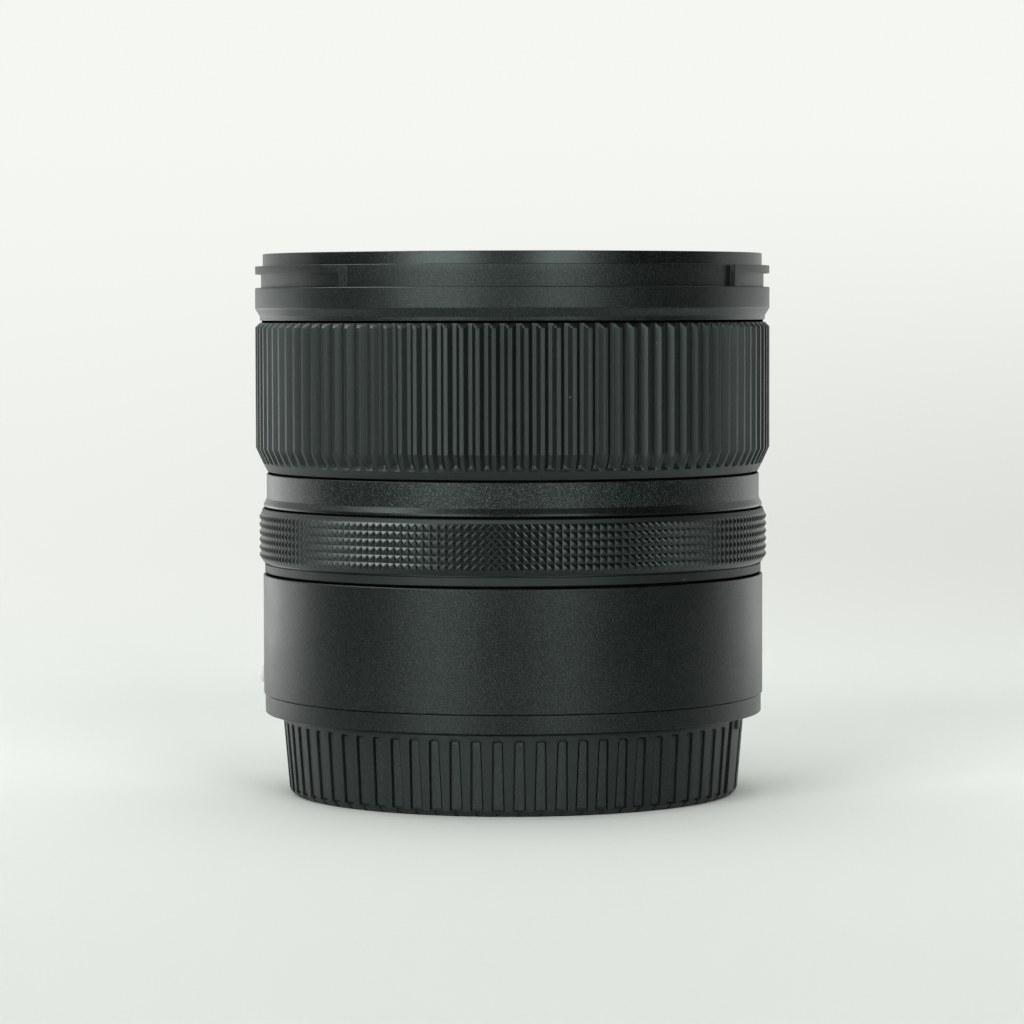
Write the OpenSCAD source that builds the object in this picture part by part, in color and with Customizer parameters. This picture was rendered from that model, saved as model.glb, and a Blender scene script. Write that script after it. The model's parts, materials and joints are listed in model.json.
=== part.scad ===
// Internal-zoom wide-angle camera lens, standing front-up on its rear cap.
// The optical axis is Z, with z = 0 on the underside of the cap. Millimetres and degrees.
// Azimuths are measured from the viewer's side (-Y), positive towards +X.

/* [Stack along the axis] */
// Floor of the rear cap
cap_floor_t = 1.2; // [0.9:0.1:2]
// Gap between the bayonet spigot and the cap's floor
cap_gap = 0.5; // [0.3:0.1:1]
// Reach of the bayonet spigot behind the mount flange
spigot_reach = 3.7; // [3.5:0.1:4.5]
// Height of the rear cap
cap_h = 11.2; // [10:0.1:14]
// Seam between the rear cap and the rear ring
cap_seam = 0.2; // [0.1:0.05:0.6]
// Height of the rear ring
rear_ring_h = 2.55; // [2.3:0.05:4]
// Height of the rear barrel
rear_barrel_h = 16.8; // [15:0.1:22]
// Seams above and below the turning rings
seam = 0.3; // [0.2:0.05:0.5]
// Height of the control ring
control_h = 8.7; // [7.8:0.1:12]
// Height of the fixed middle band
band_h = 4.75; // [3.8:0.05:8]
// Height of the zoom ring
zoom_h = 20.75; // [18.5:0.05:28]
// Height of the front ring
front_h = 9.25; // [8.8:0.05:12]

/* [Outer diameters] */
// Front ring over its widest band, which all other rings and tubes follow
front_d = 72; // [71:0.1:75]
// Rim around the filter bore, in from the widest band
rim_step = 1.08; // [0.95:0.01:1.4]
// Neck that carries the hood lugs, in from the widest band
neck_step = 0.83; // [0.6:0.01:0.89]
// Lower edge of the front ring, in from the widest band
skirt_step = 0.65; // [0.5:0.05:1]
// Ribs of the zoom ring, in from the widest band
zoom_step = 0; // [0:0.05:0.4]
// Lower edge of the zoom ring, in from the widest band
zoom_foot_step = 1.55; // [1.2:0.05:1.7]
// Middle band, in from the widest band
band_step = 1.48; // [1.1:0.01:1.8]
// Flared lower lip of the middle band, in from the widest band
band_flare_step = 1.05; // [0.7:0.01:1.09]
// Knurl of the control ring, in from the widest band
control_step = 0.37; // [0:0.01:0.6]
// Upper edge of the control ring, in from the widest band
control_top_step = 0.93; // [0.9:0.01:1.4]
// Smooth foot of the control ring, in from the widest band
control_foot_step = 1.2; // [1:0.01:1.5]
// Rear barrel, in from the widest band
rear_step = 0.97; // [0:0.01:1.2]
// Rear ring, in from the widest band
rear_ring_step = 1.17; // [0:0.01:1.4]

/* [Filter thread and hood bayonet] */
// Wall between the filter bore and the rim
filter_wall = 1.42; // [1:0.02:1.6]
// Depth of the filter bore
filter_depth = 4.5; // [3.5:0.1:5]
// Height of the rim above the hood lugs
rim_h = 1.72; // [1.2:0.02:2]
// Thickness of a hood lug
lug_t = 1.08; // [0.8:0.02:1.4]
// Groove below the hood lugs
lug_groove_h = 1.9; // [1.5:0.1:2.2]
// Arc of a hood lug
lug_arc = 83; // [40:1:110]
// Azimuth of the middle of the first hood lug
lug_azimuth = 99.5; // [90:0.5:110]
// Arc of the stop wall at a lug's end
lug_stop_arc = 1.8; // [1:0.1:4]

/* [Grips] */
// Ribs around the zoom ring
rib_count = 105; // [60:1:120]
// Azimuth of a rib's middle
rib_azimuth = -0.48; // [-1.7:0.02:1.7]
// Depth of the grooves between ribs
rib_depth = 0.7; // [0.4:0.05:0.8]
// Height of the plain, tapered foot of the zoom ring
zoom_taper_h = 3.2; // [2.4:0.1:4]
// Chamfer at the top of the zoom ring
zoom_chamfer_h = 0.65; // [0.4:0.05:1]
// Columns of pyramids around the control ring
knurl_columns = 213; // [120:1:220]
// Rows of pyramids on the control ring
knurl_rows = 6; // [4:1:7]
// Azimuth of a pyramid's peak
knurl_azimuth = -0.32; // [-0.8:0.02:0.8]
// Height of a pyramid
knurl_depth = 0.42; // [0.2:0.02:0.5]
// Slots around the rear cap
slot_count = 70; // [40:1:76]
// Azimuth of a cap slot's middle
slot_azimuth = 1.4; // [-2.5:0.1:2.5]
// Width of a cap slot at its top
slot_w = 1.2; // [0.8:0.1:1.4]
// Width that a cap slot gains towards its foot
slot_spread = 0.18; // [0:0.02:0.3]
// Depth of a cap slot
slot_depth = 0.35; // [0.2:0.05:0.4]
// Wall of the rear cap
cap_wall = 1; // [0.8:0.05:1.2]

/* [Inner barrels] */
// Chassis tube that the rings turn on, in from the widest band
ring_stack = 2.8; // [2.7:0.02:3]
// Wall of the chassis tube
tube_wall = 1.4; // [1.2:0.1:1.6]
// Wall of the zoom ring under its grip
ring_wall = 0.64; // [0.5:0.02:0.7]
// Wall of the cam tube
cam_wall = 1.3; // [1.1:0.1:1.5]
// Wall of the straight guide tube
guide_wall = 1.1; // [0.9:0.1:1.3]
// Wall of the lens carriages
carriage_wall = 1.6; // [1.4:0.1:2]
// Radial clearance of parts that run on each other
run_fit = 0.06; // [0.03:0.01:0.1]
// Radial clearance of fixed pieces in their seats
seat_fit = 0.02; // [0.01:0.01:0.04]
// Clearance of parts that pass each other
clear = 0.3; // [0.25:0.05:0.45]

/* [Travel] */
// Turn of the cam tube over the whole zoom
cam_turn = 45; // [35:1:60]
// Travel of the front carriage over the zoom
zoom_travel = 4.5; // [3:0.1:5.5]
// Travel of the rear carriage over the zoom
rear_travel = 3; // [2:0.1:3.6]
// Travel of the focus carriage
focus_travel = 3; // [2:0.1:3.6]
// Turn of an iris blade from open to closed
blade_turn = 28; // [15:1:30]
// Shift of the stabiliser to each side
stabiliser_shift = 0.4; // [0.2:0.05:0.45]

/* [Glass: front radius, rear radius, centre thickness, edge radius] */
// Front element
front_glass = [75, 26, 2, 23.5]; // [1:0.1:90]
// Second element
second_glass = [45, 22, 1.5, 15.5]; // [1:0.1:90]
// Third element, with a flat rear face
third_glass = [24, 0, 3.9, 11]; // [0:0.1:90]
// Element of the front carriage, hollow rear radii being negative
zoom_glass = [60, -45, 2.7, 10]; // [-90:0.1:90]
// Stabiliser element
stabiliser_glass = [-40, 0, 0.6, 9]; // [-90:0.1:90]
// Focus element
focus_glass = [-30, 0, 0.8, 8]; // [-90:0.1:90]
// Element of the rear carriage
rear_zoom_glass = [32, -32, 5.2, 10.5]; // [-90:0.1:90]
// Rear element
rear_glass = [40, 0, 3.5, 12]; // [0:0.1:90]
// Depth of the front element's vertex below the rim
vertex_drop = 4.6; // [4:0.1:5.5]
// Air between neighbouring front elements at their edges
glass_air = 0.45; // [0.3:0.05:0.7]

/* [Gears] */
// Teeth of a full turn of the cam tube's gear
cam_teeth = 120; // [100:4:140]
// Teeth of the pinion that drives the cam tube
pinion_teeth = 12; // [11:1:13]
// Teeth of the idler's wheel
wheel_teeth = 22; // [20:1:23]
// Teeth of the motor pinions
motor_teeth = 10; // [9:1:11]
// Module of the motor gears
motor_module = 0.4; // [0.35:0.01:0.42]

/* [Mount] */
// Bayonet spigot
spigot_d = 54.6; // [53:0.1:55]
// Bayonet claws, out from the spigot
claw_reach = 1.9; // [1.4:0.1:2.1]
// Mount flange, out from the spigot
flange_reach = 3.2; // [3:0.05:3.3]
// Rear cap at its floor, out from the spigot
cap_reach = 4.15; // [3.9:0.05:4.4]
// Rear cap at its mouth, out from its floor
cap_taper = 0.95; // [0.8:0.05:1.2]
// Arc of a bayonet claw
claw_arc = 48; // [30:1:52]
// Arc of a tab inside the cap
tab_arc = 30; // [20:1:34]
// Bayonet claws, and tabs in the cap
claw_count = 4; // [3:1:4]
// Contact pins
contact_count = 11; // [8:1:12]

/* [Hidden] */
$fn = 96;

satin_black = "#24292b";
grip_black = "#1f2426";
grain_black = "#202628";
cap_black = "#1b1e20";
inner_black = "#15181a";
glass_tint = "#5d6f86";
metal_grey = "#9aa0a6";

// Overrun of a cutting shape past the faces that it cuts
overcut = 0.1;
// Length that a pin, a claw or a blade is rooted in its piece
root = 1;
// Small broken edge on turned pieces
edge = 0.2;
// Facets of the glass surfaces
glass_fn = 240;
follower_count = 3;
blade_count = 7;

// Gear teeth, in modules: half width at the pitch line, reach, root and sink into the ring's wall
tooth_half = 0.62;
tooth_reach = 0.85;
tooth_root = 1.2;
tooth_sink = 1.4;
flank_lean = tan(20);
// Teeth kept on each side of a gear sector's travel, in degrees
sector_margin = 8;

// Small distances between neighbouring pieces
level_gap = 0.1;
shell_gap = 0.15;
stabiliser_gap = 0.2;
wheel_gap = 0.8;
motor_gap = 0.6;
guide_lift = 0.7;
post_gap = 0.4;
stub_reach = 2;

// Walls and reaches of the inner pieces
ring_floor_t = 1.2;
boss_reach = 2.7;
hub_wall = 1.8;
zoom_hub_wall = 2.5;
focus_wall = 2;
plate_room = 3;
board_room = 4;
focus_inset = 5.38;
rod_over = 1;
frame_w = 2.4;
yoke_w = 2.5;
gear_inset = 0.1;
spigot_wall = 1.7;
rear_seat_w = 2;
rear_flange_w = 2;
rear_seat_lift = 3.8;
baffle_lift = 0.6;
contact_inset = 2;

// Heights of the outer pieces
flange_z = cap_floor_t + cap_gap + spigot_reach;
rear_z = cap_h + cap_seam;
barrel_z = rear_z + rear_ring_h;
control_z = barrel_z + rear_barrel_h + seam;
band_z = control_z + control_h + seam;
zoom_z = band_z + band_h + seam;
front_z = zoom_z + zoom_h + seam;
top_z = front_z + front_h;

// Radii of the outer pieces
front_r = front_d / 2;
rim_r = front_r - rim_step;
neck_r = front_r - neck_step;
skirt_r = front_r - skirt_step;
filter_r = rim_r - filter_wall;
zoom_r = front_r - zoom_step;
zoom_foot_r = front_r - zoom_foot_step;
band_r = front_r - band_step;
band_flare_r = front_r - band_flare_step;
control_r = front_r - control_step;
control_top_r = front_r - control_top_step;
control_foot_r = front_r - control_foot_step;
rear_r = front_r - rear_step;
rear_ring_r = front_r - rear_ring_step;

// Radii of the nested tubes, from the outside in
tube_r = front_r - ring_stack;
tube_in = tube_r - tube_wall;
ring_in = tube_r + run_fit;
ring_out = ring_in + ring_wall;
grip_in = ring_out + seat_fit;
cam_out = tube_in - clear;
cam_in = cam_out - cam_wall;
guide_out = cam_in - run_fit;
guide_in = guide_out - guide_wall;
carriage_r = guide_in - run_fit;
carriage_in = carriage_r - carriage_wall;
shell_in = tube_r + shell_gap;

// Rear bay, between the rear frame's floor and the rear plate
floor_t = 1;
bay_h = 11;
plate_t = 1.4;
floor_z = rear_z + ring_floor_t;
bay_z = floor_z + floor_t;
plate_z = bay_z + bay_h;
plate_top = plate_z + plate_t;
frame_wall = 1;

// Seats at the front
front_seat = 3.35;
tube_top = front_z + front_seat;
filter_z = top_z - filter_depth;
group_drop = 5.5;
group_z = tube_top - group_drop;
group_flange_t = 2;
guide_flange_t = 1.5;

// Depth of a spherical surface of radius r at height h above the axis
function sag(r, h) = r == 0 ? 0 : abs(r) - sqrt(r * r - h * h);
function polar(r, a) = [r * cos(a), r * sin(a)];
function heading(azimuth) = azimuth - 90;

// Vertex of an element whose bulging rear face rests on the inner edge of its lip
function seated(seat_z, glass) =
  seat_z + seat_fit + glass[2] - sag(glass[1], glass[3] + seat_fit - lens_lip);

// Front group, worked from the front element down
front_clear = 17.5;
second_clear = 12;
front_v = top_z - vertex_drop;
front_back_v = front_v - front_glass[2];
front_seat_z = front_back_v - sag(front_glass[1], front_clear);
front_edge_z = front_v - sag(front_glass[0], front_glass[3]);
second_edge_z = front_back_v - sag(front_glass[1], second_glass[3]) - glass_air;
second_v = second_edge_z + sag(second_glass[0], second_glass[3]);
second_back_v = second_v - second_glass[2];
second_seat_z = second_back_v - sag(second_glass[1], second_clear);
third_edge_z = second_back_v - sag(second_glass[1], third_glass[3]) - glass_air;
third_v = third_edge_z + sag(third_glass[0], third_glass[3]);
third_seat_z = third_v - third_glass[2];
lens_lip = 0.7;
lip_t = 0.8;
group_foot_z = third_seat_z - lip_t;

// Front carriage, which holds the stabiliser, an element and the iris
stop_gap = 0.55;
zoom_carriage_h = 9;
zoom_carriage_z = group_foot_z - stop_gap - zoom_travel - zoom_carriage_h;
web_lift = 3;
web_z = zoom_carriage_z + web_lift;
web_t = 1.2;
hub_h = 2.9;
iris_z = web_z + hub_h;
iris_base_t = 0.6;
blade_t = 0.15;
blade_pitch = 0.2;
blade_z = iris_z + iris_base_t + level_gap;
drive_z = blade_z + blade_count * blade_pitch + level_gap;
drive_t = 0.5;
iris_cover_z = drive_z + drive_t + level_gap;
iris_cover_t = 0.3;

// Cam followers
pin_r = 1.2;
boss_r = 2;
pin_end = cam_out - edge;
boss_root = carriage_in - boss_reach;
follower_first = 30;
zoom_pin_z = web_z + web_t / 2;

// Rear carriage, which holds an element and the focus unit
cam_gear_h = 2.2;
guide_z = plate_top + cam_gear_h + guide_lift;
rear_carriage_z = guide_z + level_gap;
rear_carriage_h = 5;
rear_pin_z = rear_carriage_z + rear_carriage_h / 2;
rear_hub_r = rear_zoom_glass[3] + hub_wall;
rear_hub_reach = 3;
rear_seat_drop = 0.8;
focus_rest = 5.8;
focus_z = rear_carriage_z + focus_rest;
focus_h = 3.2;
focus_drive_r = carriage_in - focus_inset;
rod_r = 0.75;
rod_top = focus_z + focus_h + focus_travel + rod_over;
focus_motor_r = 3;
focus_motor_h = 4.2;
screw_r = 0.6;
screw_heading = 90;

// Iris sizes, set out from the blades' pivots
pivot_r = 13.5;
pivot_pin_r = 0.45;
tail_reach = 3;
tail_pin_r = 0.4;
tail_r = pivot_r + tail_reach;
blade_in = 9;
blade_out = 12.6;
blade_arc = 105;
iris_open_r = 9;
drive_in = 14.9;
drive_out = 18.4;
post_r = 0.9;
post_ring = drive_out + run_fit + post_r;
iris_r = post_ring + post_r + clear;
iris_gear_r = drive_out + motor_module;
iris_teeth = round(2 * iris_gear_r / motor_module);
iris_motor_heading = 90;
iris_pinion_ring = (iris_teeth + motor_teeth) * motor_module / 2;
iris_motor_r = 3.2;
shaft_r = 0.5;

// Stabiliser rings and guide pins
guide_pin_r = 0.45;
stabiliser_t = 1.6;
stabiliser_z = web_z - stabiliser_gap - stabiliser_t;
frame_r = stabiliser_glass[3] + frame_w;
yoke_in = frame_r + stabiliser_shift + clear;
yoke_r = yoke_in + yoke_w;
anchor_in = yoke_r + stabiliser_shift + clear;
anchor_w = 2.4;

// Zoom drive in the rear bay
cam_gear_r = cam_in - gear_inset;
cam_module = 2 * cam_gear_r / cam_teeth;
pinion_r = pinion_teeth * cam_module / 2;
idler_ring = cam_gear_r - pinion_r;
idler_heading = 200;
idler_at = polar(idler_ring, idler_heading);
gear_distance = (wheel_teeth + motor_teeth) * motor_module / 2;
motor_heading = idler_heading + 2 * asin(gear_distance / 2 / idler_ring);
motor_at = polar(idler_ring, motor_heading);
mesh_heading = atan2(motor_at[1] - idler_at[1], motor_at[0] - idler_at[0]);
motor_gear_h = 1.6;
motor_gear_z = plate_z - wheel_gap - motor_gear_h;
zoom_motor_r = 3.6;
zoom_motor_h = motor_gear_z - motor_gap - bay_z;
journal_r = 0.9;
stub_r = 0.6;
post_wall = 1;

// Mount and rear optics
spigot_r = spigot_d / 2;
claw_r = spigot_r + claw_reach;
flange_r = spigot_r + flange_reach;
cap_foot_r = spigot_r + cap_reach;
cap_top_r = cap_foot_r + cap_taper;
spigot_in = spigot_r - spigot_wall;
flange_t = 1.8;
claw_t = 1.5;
claw_z = flange_z - spigot_reach;
tab_z = claw_z + claw_t + clear;
tab_t = flange_z - clear - tab_z;
mount_screw_ring = (spigot_r + flange_r) / 2;
screw_head_r = 1.1;
screw_head_t = 0.9;
screw_shank_r = 0.6;
rear_bore_r = rear_glass[3] + rear_seat_w;
rear_seat_z = flange_z + rear_seat_lift;
baffle_z = flange_z + baffle_lift;
baffle_t = 1;
contact_ring = spigot_in - contact_inset;
contact_pitch = 5.6;
contact_r = 0.45;

// A tube between two heights
module tube(r_out, r_in, z, h) {
  translate([0, 0, z])
    difference() {
      cylinder(r = r_out, h = h);
      translate([0, 0, -overcut]) cylinder(r = r_in, h = h + 2 * overcut);
    }
}

// A sector of a ring, from one heading on through an arc
module sector(r_in, r_out, z, h, start, arc) {
  rotate(start)
    rotate_extrude(angle = arc)
      translate([r_in, z]) square([r_out - r_in, h]);
}

// A radial pin at a heading
module radial_pin(r, from_r, to_r, z, angle) {
  rotate(angle)
    translate([from_r, 0, z])
      rotate([0, 90, 0]) cylinder(r = r, h = to_r - from_r);
}

// An element between two heights. A radius is positive where its centre lies behind its surface.
module element(vertex_z, glass, foot_z, rim_z) {
  back_v = vertex_z - glass[2];
  difference() {
    intersection() {
      translate([0, 0, foot_z]) cylinder(r = glass[3], h = rim_z - foot_z);
      if (glass[0] > 0) translate([0, 0, vertex_z - glass[0]]) sphere(r = glass[0], $fn = glass_fn);
      if (glass[1] < 0) translate([0, 0, back_v - glass[1]]) sphere(r = -glass[1], $fn = glass_fn);
    }
    if (glass[0] < 0) translate([0, 0, vertex_z - glass[0]]) sphere(r = -glass[0], $fn = glass_fn);
    if (glass[1] > 0) translate([0, 0, back_v - glass[1]]) sphere(r = glass[1], $fn = glass_fn);
  }
}

// Outline of a spur gear with a tooth on heading 0 and room for its mate's teeth
module gear_outline(teeth, pitch_m) {
  pitch_r = teeth * pitch_m / 2;
  half = tooth_half * pitch_m;
  addendum = tooth_reach * pitch_m;
  dedendum = tooth_root * pitch_m;
  flank = [
    [-dedendum, half + dedendum * flank_lean],
    [0, half],
    [addendum, half - addendum * flank_lean]
  ];
  polygon([
    for (i = [0 : teeth - 1])
      for (side = [-1, 1])
        for (k = side < 0 ? [0, 1, 2] : [2, 1, 0])
          let (r = pitch_r + flank[k][0], a = i * 360 / teeth + side * flank[k][1] / r * 180 / PI)
          polar(r, a)
  ]);
}

module gear(teeth, pitch_m, h) {
  linear_extrude(height = h) gear_outline(teeth, pitch_m);
}

// One tooth of a gear as a thin wedge, pointing out (reach > 0) or in, rooted root_sink deep
module tooth(pitch_r, pitch_m, reach, root_sink, z, h, angle) {
  half = tooth_half * pitch_m;
  root_r = pitch_r - sign(reach) * root_sink;
  tip_r = pitch_r + reach;
  root_half = half + root_sink * flank_lean;
  tip_half = half - abs(reach) * flank_lean;
  rotate(angle)
    translate([0, 0, z])
      linear_extrude(height = h)
        polygon([[root_r, -root_half], [tip_r, -tip_half], [tip_r, tip_half], [root_r, root_half]]);
}

// Faces of a solid whose sides are stacked rings of n points, numbered ring by ring from below
function stack_faces(n, rings) = concat(
  [[for (i = [0 : n - 1]) i]],
  [for (k = [0 : rings - 2]) for (i = [0 : n - 1])
    [k * n + i, (k + 1) * n + i, (k + 1) * n + (i + 1) % n, k * n + (i + 1) % n]],
  [[for (i = [n - 1 : -1 : 0]) (rings - 1) * n + i]]
);

// Front ring: filter bore, rim, hood neck, wide band and skirt
skirt_h = 0.6;
flare_h = 1.05;
lug_top = top_z - rim_h;
lug_z = lug_top - lug_t;
front_band_top = lug_z - lug_groove_h;
thread_lead = 0.4;
// Hood lugs stand just inside the wide band, and their end walls just inside the lugs
lug_inset = 0.04;
lug_r = front_r - lug_inset;
trim_flange_t = 0.6;
trim_seat_z = filter_z - trim_flange_t;
trim_ledge = 0.9;
trim_seat_r = filter_r - trim_ledge;

module front_ring() {
  color(satin_black)
    union() {
      rotate_extrude()
        polygon([
          [tube_in, trim_seat_z],
          [trim_seat_r, trim_seat_z],
          [trim_seat_r, filter_z],
          [filter_r, filter_z],
          [filter_r, top_z - thread_lead],
          [filter_r + thread_lead, top_z],
          [rim_r - edge, top_z],
          [rim_r, top_z - edge],
          [rim_r, lug_top],
          [neck_r, lug_top],
          [neck_r, front_band_top],
          [front_r - edge, front_band_top],
          [front_r, front_band_top - edge],
          [front_r, front_z + skirt_h + flare_h],
          [skirt_r, front_z + skirt_h],
          [skirt_r, front_z],
          [tube_r + seat_fit, front_z],
          [tube_r + seat_fit, tube_top],
          [tube_in, tube_top]
        ]);
      for (half_turn = [0, 180]) {
        start = heading(lug_azimuth) - lug_arc / 2 + half_turn;
        lug_root = rim_r - edge;
        wall_z = front_band_top - 2 * edge;
        wall_h = lug_z + lug_t / 2 - wall_z;
        inset = asin(lug_inset / lug_r);
        sector(lug_root, lug_r, lug_z - lug_inset, lug_t, start, lug_arc);
        for (from = [inset, lug_arc - lug_stop_arc - inset])
          sector(lug_root, lug_r - lug_inset, wall_z, wall_h, start + from, lug_stop_arc);
      }
    }
}

// Trim ring: a stepped funnel from the filter bore down to the front element
trim_in = 22.3;

module front_trim_ring() {
  lip_z = front_v - sag(front_glass[0], trim_in) + clear;
  lip_h = 0.7;
  foot_w = 1.5;
  foot_r = front_glass[3] + foot_w;
  color(inner_black)
    rotate_extrude()
      polygon([
        [trim_seat_r - seat_fit, trim_seat_z],
        [trim_seat_r - seat_fit, filter_z],
        [tube_in - edge, filter_z],
        [trim_in + edge, lip_z + lip_h],
        [trim_in, lip_z + lip_h - edge],
        [trim_in, lip_z],
        [foot_r, lip_z - edge],
        [tube_in - edge, tube_top],
        [tube_in - edge, trim_seat_z]
      ]);
}

// The front element has a flat rim outside its hollow rear face
module front_element() {
  color(glass_tint) element(front_v, front_glass, front_seat_z, front_v);
}

module second_element() {
  color(glass_tint) element(second_v, second_glass, second_seat_z, second_v);
}

module third_element() {
  color(glass_tint) element(third_v, third_glass, third_seat_z, third_v);
}

// Frame of the fixed front group, stepped for its three elements
module front_group_frame() {
  bore_1 = front_glass[3] + seat_fit;
  bore_2 = second_glass[3] + seat_fit;
  bore_3 = third_glass[3] + seat_fit;
  shoulder = 1.2;
  rim_wall = 1.5;
  color(inner_black)
    rotate_extrude()
      polygon([
        [bore_3 - lens_lip, group_foot_z],
        [bore_2 + rim_wall, group_foot_z],
        [bore_2 + rim_wall, front_seat_z - shoulder],
        [bore_1 + rim_wall, front_seat_z - shoulder],
        [bore_1 + rim_wall, group_z],
        [tube_in - seat_fit, group_z],
        [tube_in - seat_fit, group_z + group_flange_t],
        [bore_1 + rim_wall, group_z + group_flange_t],
        [bore_1 + rim_wall, front_edge_z - clear],
        [bore_1, front_edge_z - clear],
        [bore_1, front_seat_z],
        [bore_2, front_seat_z],
        [bore_2, second_seat_z],
        [bore_3, second_seat_z],
        [bore_3, third_seat_z],
        [bore_3 - lens_lip, third_seat_z]
      ]);
}

// Return spring of the zoom ring: an open ring of wire whose two legs straddle a key on the chassis
spring_wire_r = 0.25;
spring_leg_r = 0.28;
spring_groove = 0.6;
spring_lift = 1.5;
spring_z = zoom_z + spring_lift;
spring_groove_h = 1;
spring_r = tube_r - spring_groove / 2;
spring_leg_at = 6;
leg_half = asin((spring_leg_r + seat_fit) / tube_r);

module zoom_return_spring() {
  color(metal_grey)
    union() {
      rotate(spring_leg_at)
        rotate_extrude(angle = 360 - 2 * spring_leg_at)
          translate([spring_r, spring_z]) circle(r = spring_wire_r, $fn = 32);
      for (side = [-1, 1])
        radial_pin(
          spring_leg_r, spring_r - spring_wire_r / 2, ring_out - edge, spring_z, side * spring_leg_at
        );
    }
}

// Zoom ring: the turning sleeve under the grip, with a notch that carries the spring's legs
module zoom_ring() {
  notch = spring_leg_at + leg_half;
  notch_h = spring_z + spring_groove_h / 2 - zoom_z;
  color(grip_black)
    difference() {
      tube(ring_out, ring_in, zoom_z, zoom_h);
      sector(
        ring_in - overcut, ring_out + overcut, zoom_z - overcut, notch_h + overcut, -notch, 2 * notch
      );
    }
}

// Grip: ribs with sloping flanks that follow the tapered foot and run out on a ramp
module zoom_ring_grip() {
  slope = (zoom_r - zoom_foot_r) / zoom_taper_h;
  ramp_z = 1.25;
  ramp_h = 0.6;
  ramp_r = zoom_foot_r + slope * ramp_z;
  floor_r = zoom_r - rib_depth;
  top = zoom_z + zoom_h;
  // Each level gives the height, the radius of the rib tops and that of the groove floors
  levels = [
    [zoom_z, zoom_foot_r, zoom_foot_r],
    [zoom_z + ramp_z, ramp_r, ramp_r],
    [zoom_z + ramp_z + ramp_h, ramp_r + slope * ramp_h, ramp_r + slope * ramp_h - rib_depth],
    [zoom_z + zoom_taper_h, zoom_r, floor_r],
    [top - zoom_chamfer_h, zoom_r, floor_r],
    [top, zoom_r - zoom_chamfer_h, floor_r]
  ];
  // Share of the pitch that a rib's top and a groove's floor each take, and where these begin and end
  flat_share = 0.28;
  shares = [-flat_share / 2, flat_share / 2, (1 - flat_share) / 2, (1 + flat_share) / 2];
  color(grip_black)
    difference() {
      polyhedron(
        points = [
          for (level = levels) for (i = [0 : rib_count - 1]) for (k = [0 : 3])
            let (
              turn = heading(rib_azimuth + (i + shares[k]) * 360 / rib_count),
              at = polar(k < 2 ? level[1] : level[2], turn)
            )
            [at[0], at[1], level[0]]
        ],
        faces = stack_faces(4 * rib_count, len(levels))
      );
      translate([0, 0, zoom_z - overcut]) cylinder(r = grip_in, h = zoom_h + 2 * overcut);
    }
}

// Reflective sensors let into the chassis under the zoom ring and the control ring
sensor_arc = 7;
sensor_h = 3;
sensor_heading = 140;
sensor_sink = 1;
sensor_slack = asin(run_fit / tube_r);
sensor_heights = [control_z + control_h / 2, zoom_z + zoom_h / 2];

module ring_sensors() {
  color(inner_black)
    for (z = sensor_heights)
      sector(
        tube_r - sensor_sink + seat_fit, tube_r - seat_fit, z - sensor_h / 2, sensor_h,
        sensor_heading, sensor_arc
      );
}

// Fixed band between the two turning rings, with a flared lower lip
module middle_band() {
  lip_h = 0.45;
  flare_rise = 0.9;
  color(grain_black)
    rotate_extrude()
      polygon([
        [tube_r + seat_fit, band_z],
        [band_flare_r - edge, band_z],
        [band_flare_r, band_z + lip_h],
        [band_r, band_z + lip_h + flare_rise],
        [band_r, band_z + band_h - edge],
        [band_r - edge, band_z + band_h],
        [tube_r + seat_fit, band_z + band_h]
      ]);
}

// Control ring: a square lattice of pyramids between a smooth foot and a chamfered top edge
module control_ring() {
  n = knurl_columns;
  valley = control_r - knurl_depth;
  foot = control_foot_r;
  foot_h = 1.1;
  rise_h = 0.8;
  top_h = 0.45;
  top = control_z + control_h;
  knurl_z = control_z + foot_h + rise_h;
  row_h = (control_h - foot_h - rise_h - top_h) / knurl_rows;
  // Rings of plain points: foot, lattice rows, upper edge
  rings = concat(
    [
      [control_z, foot - edge],
      [control_z + foot_h, foot],
      [control_z + foot_h + rise_h / 3, foot - edge / 2]
    ],
    [for (j = [0 : knurl_rows]) [knurl_z + j * row_h, j < knurl_rows ? valley : control_r - edge]],
    [[top, control_top_r]]
  );
  first = 3;
  last = first + knurl_rows;
  ring_points = [
    for (ring = rings) for (i = [0 : n - 1])
      let (at = polar(ring[1], heading(knurl_azimuth + (i - 0.5) * 360 / n))) [at[0], at[1], ring[0]]
  ];
  peak_points = [
    for (j = [0 : knurl_rows - 1]) for (i = [0 : n - 1])
      let (at = polar(control_r, heading(knurl_azimuth + i * 360 / n)))
      [at[0], at[1], knurl_z + (j + 0.5) * row_h]
  ];
  plain_rows = [for (k = [0 : len(rings) - 2]) if (k < first || k >= last) k];
  color(satin_black)
    difference() {
      polyhedron(
        points = concat(ring_points, peak_points),
        faces = concat(
          [[for (i = [0 : n - 1]) i]],
          [for (k = plain_rows) for (i = [0 : n - 1])
            [k * n + i, (k + 1) * n + i, (k + 1) * n + (i + 1) % n, k * n + (i + 1) % n]],
          [for (j = [0 : knurl_rows - 1]) for (i = [0 : n - 1]) for (side = [0 : 3])
            let (
              low = (first + j) * n,
              corners = [low + i, low + n + i, low + n + (i + 1) % n, low + (i + 1) % n]
            )
            [corners[side], corners[(side + 1) % 4], len(rings) * n + j * n + i]],
          [[for (i = [n - 1 : -1 : 0]) (len(rings) - 1) * n + i]]
        )
      );
      translate([0, 0, control_z - overcut]) cylinder(r = ring_in, h = control_h + 2 * overcut);
    }
}

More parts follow.
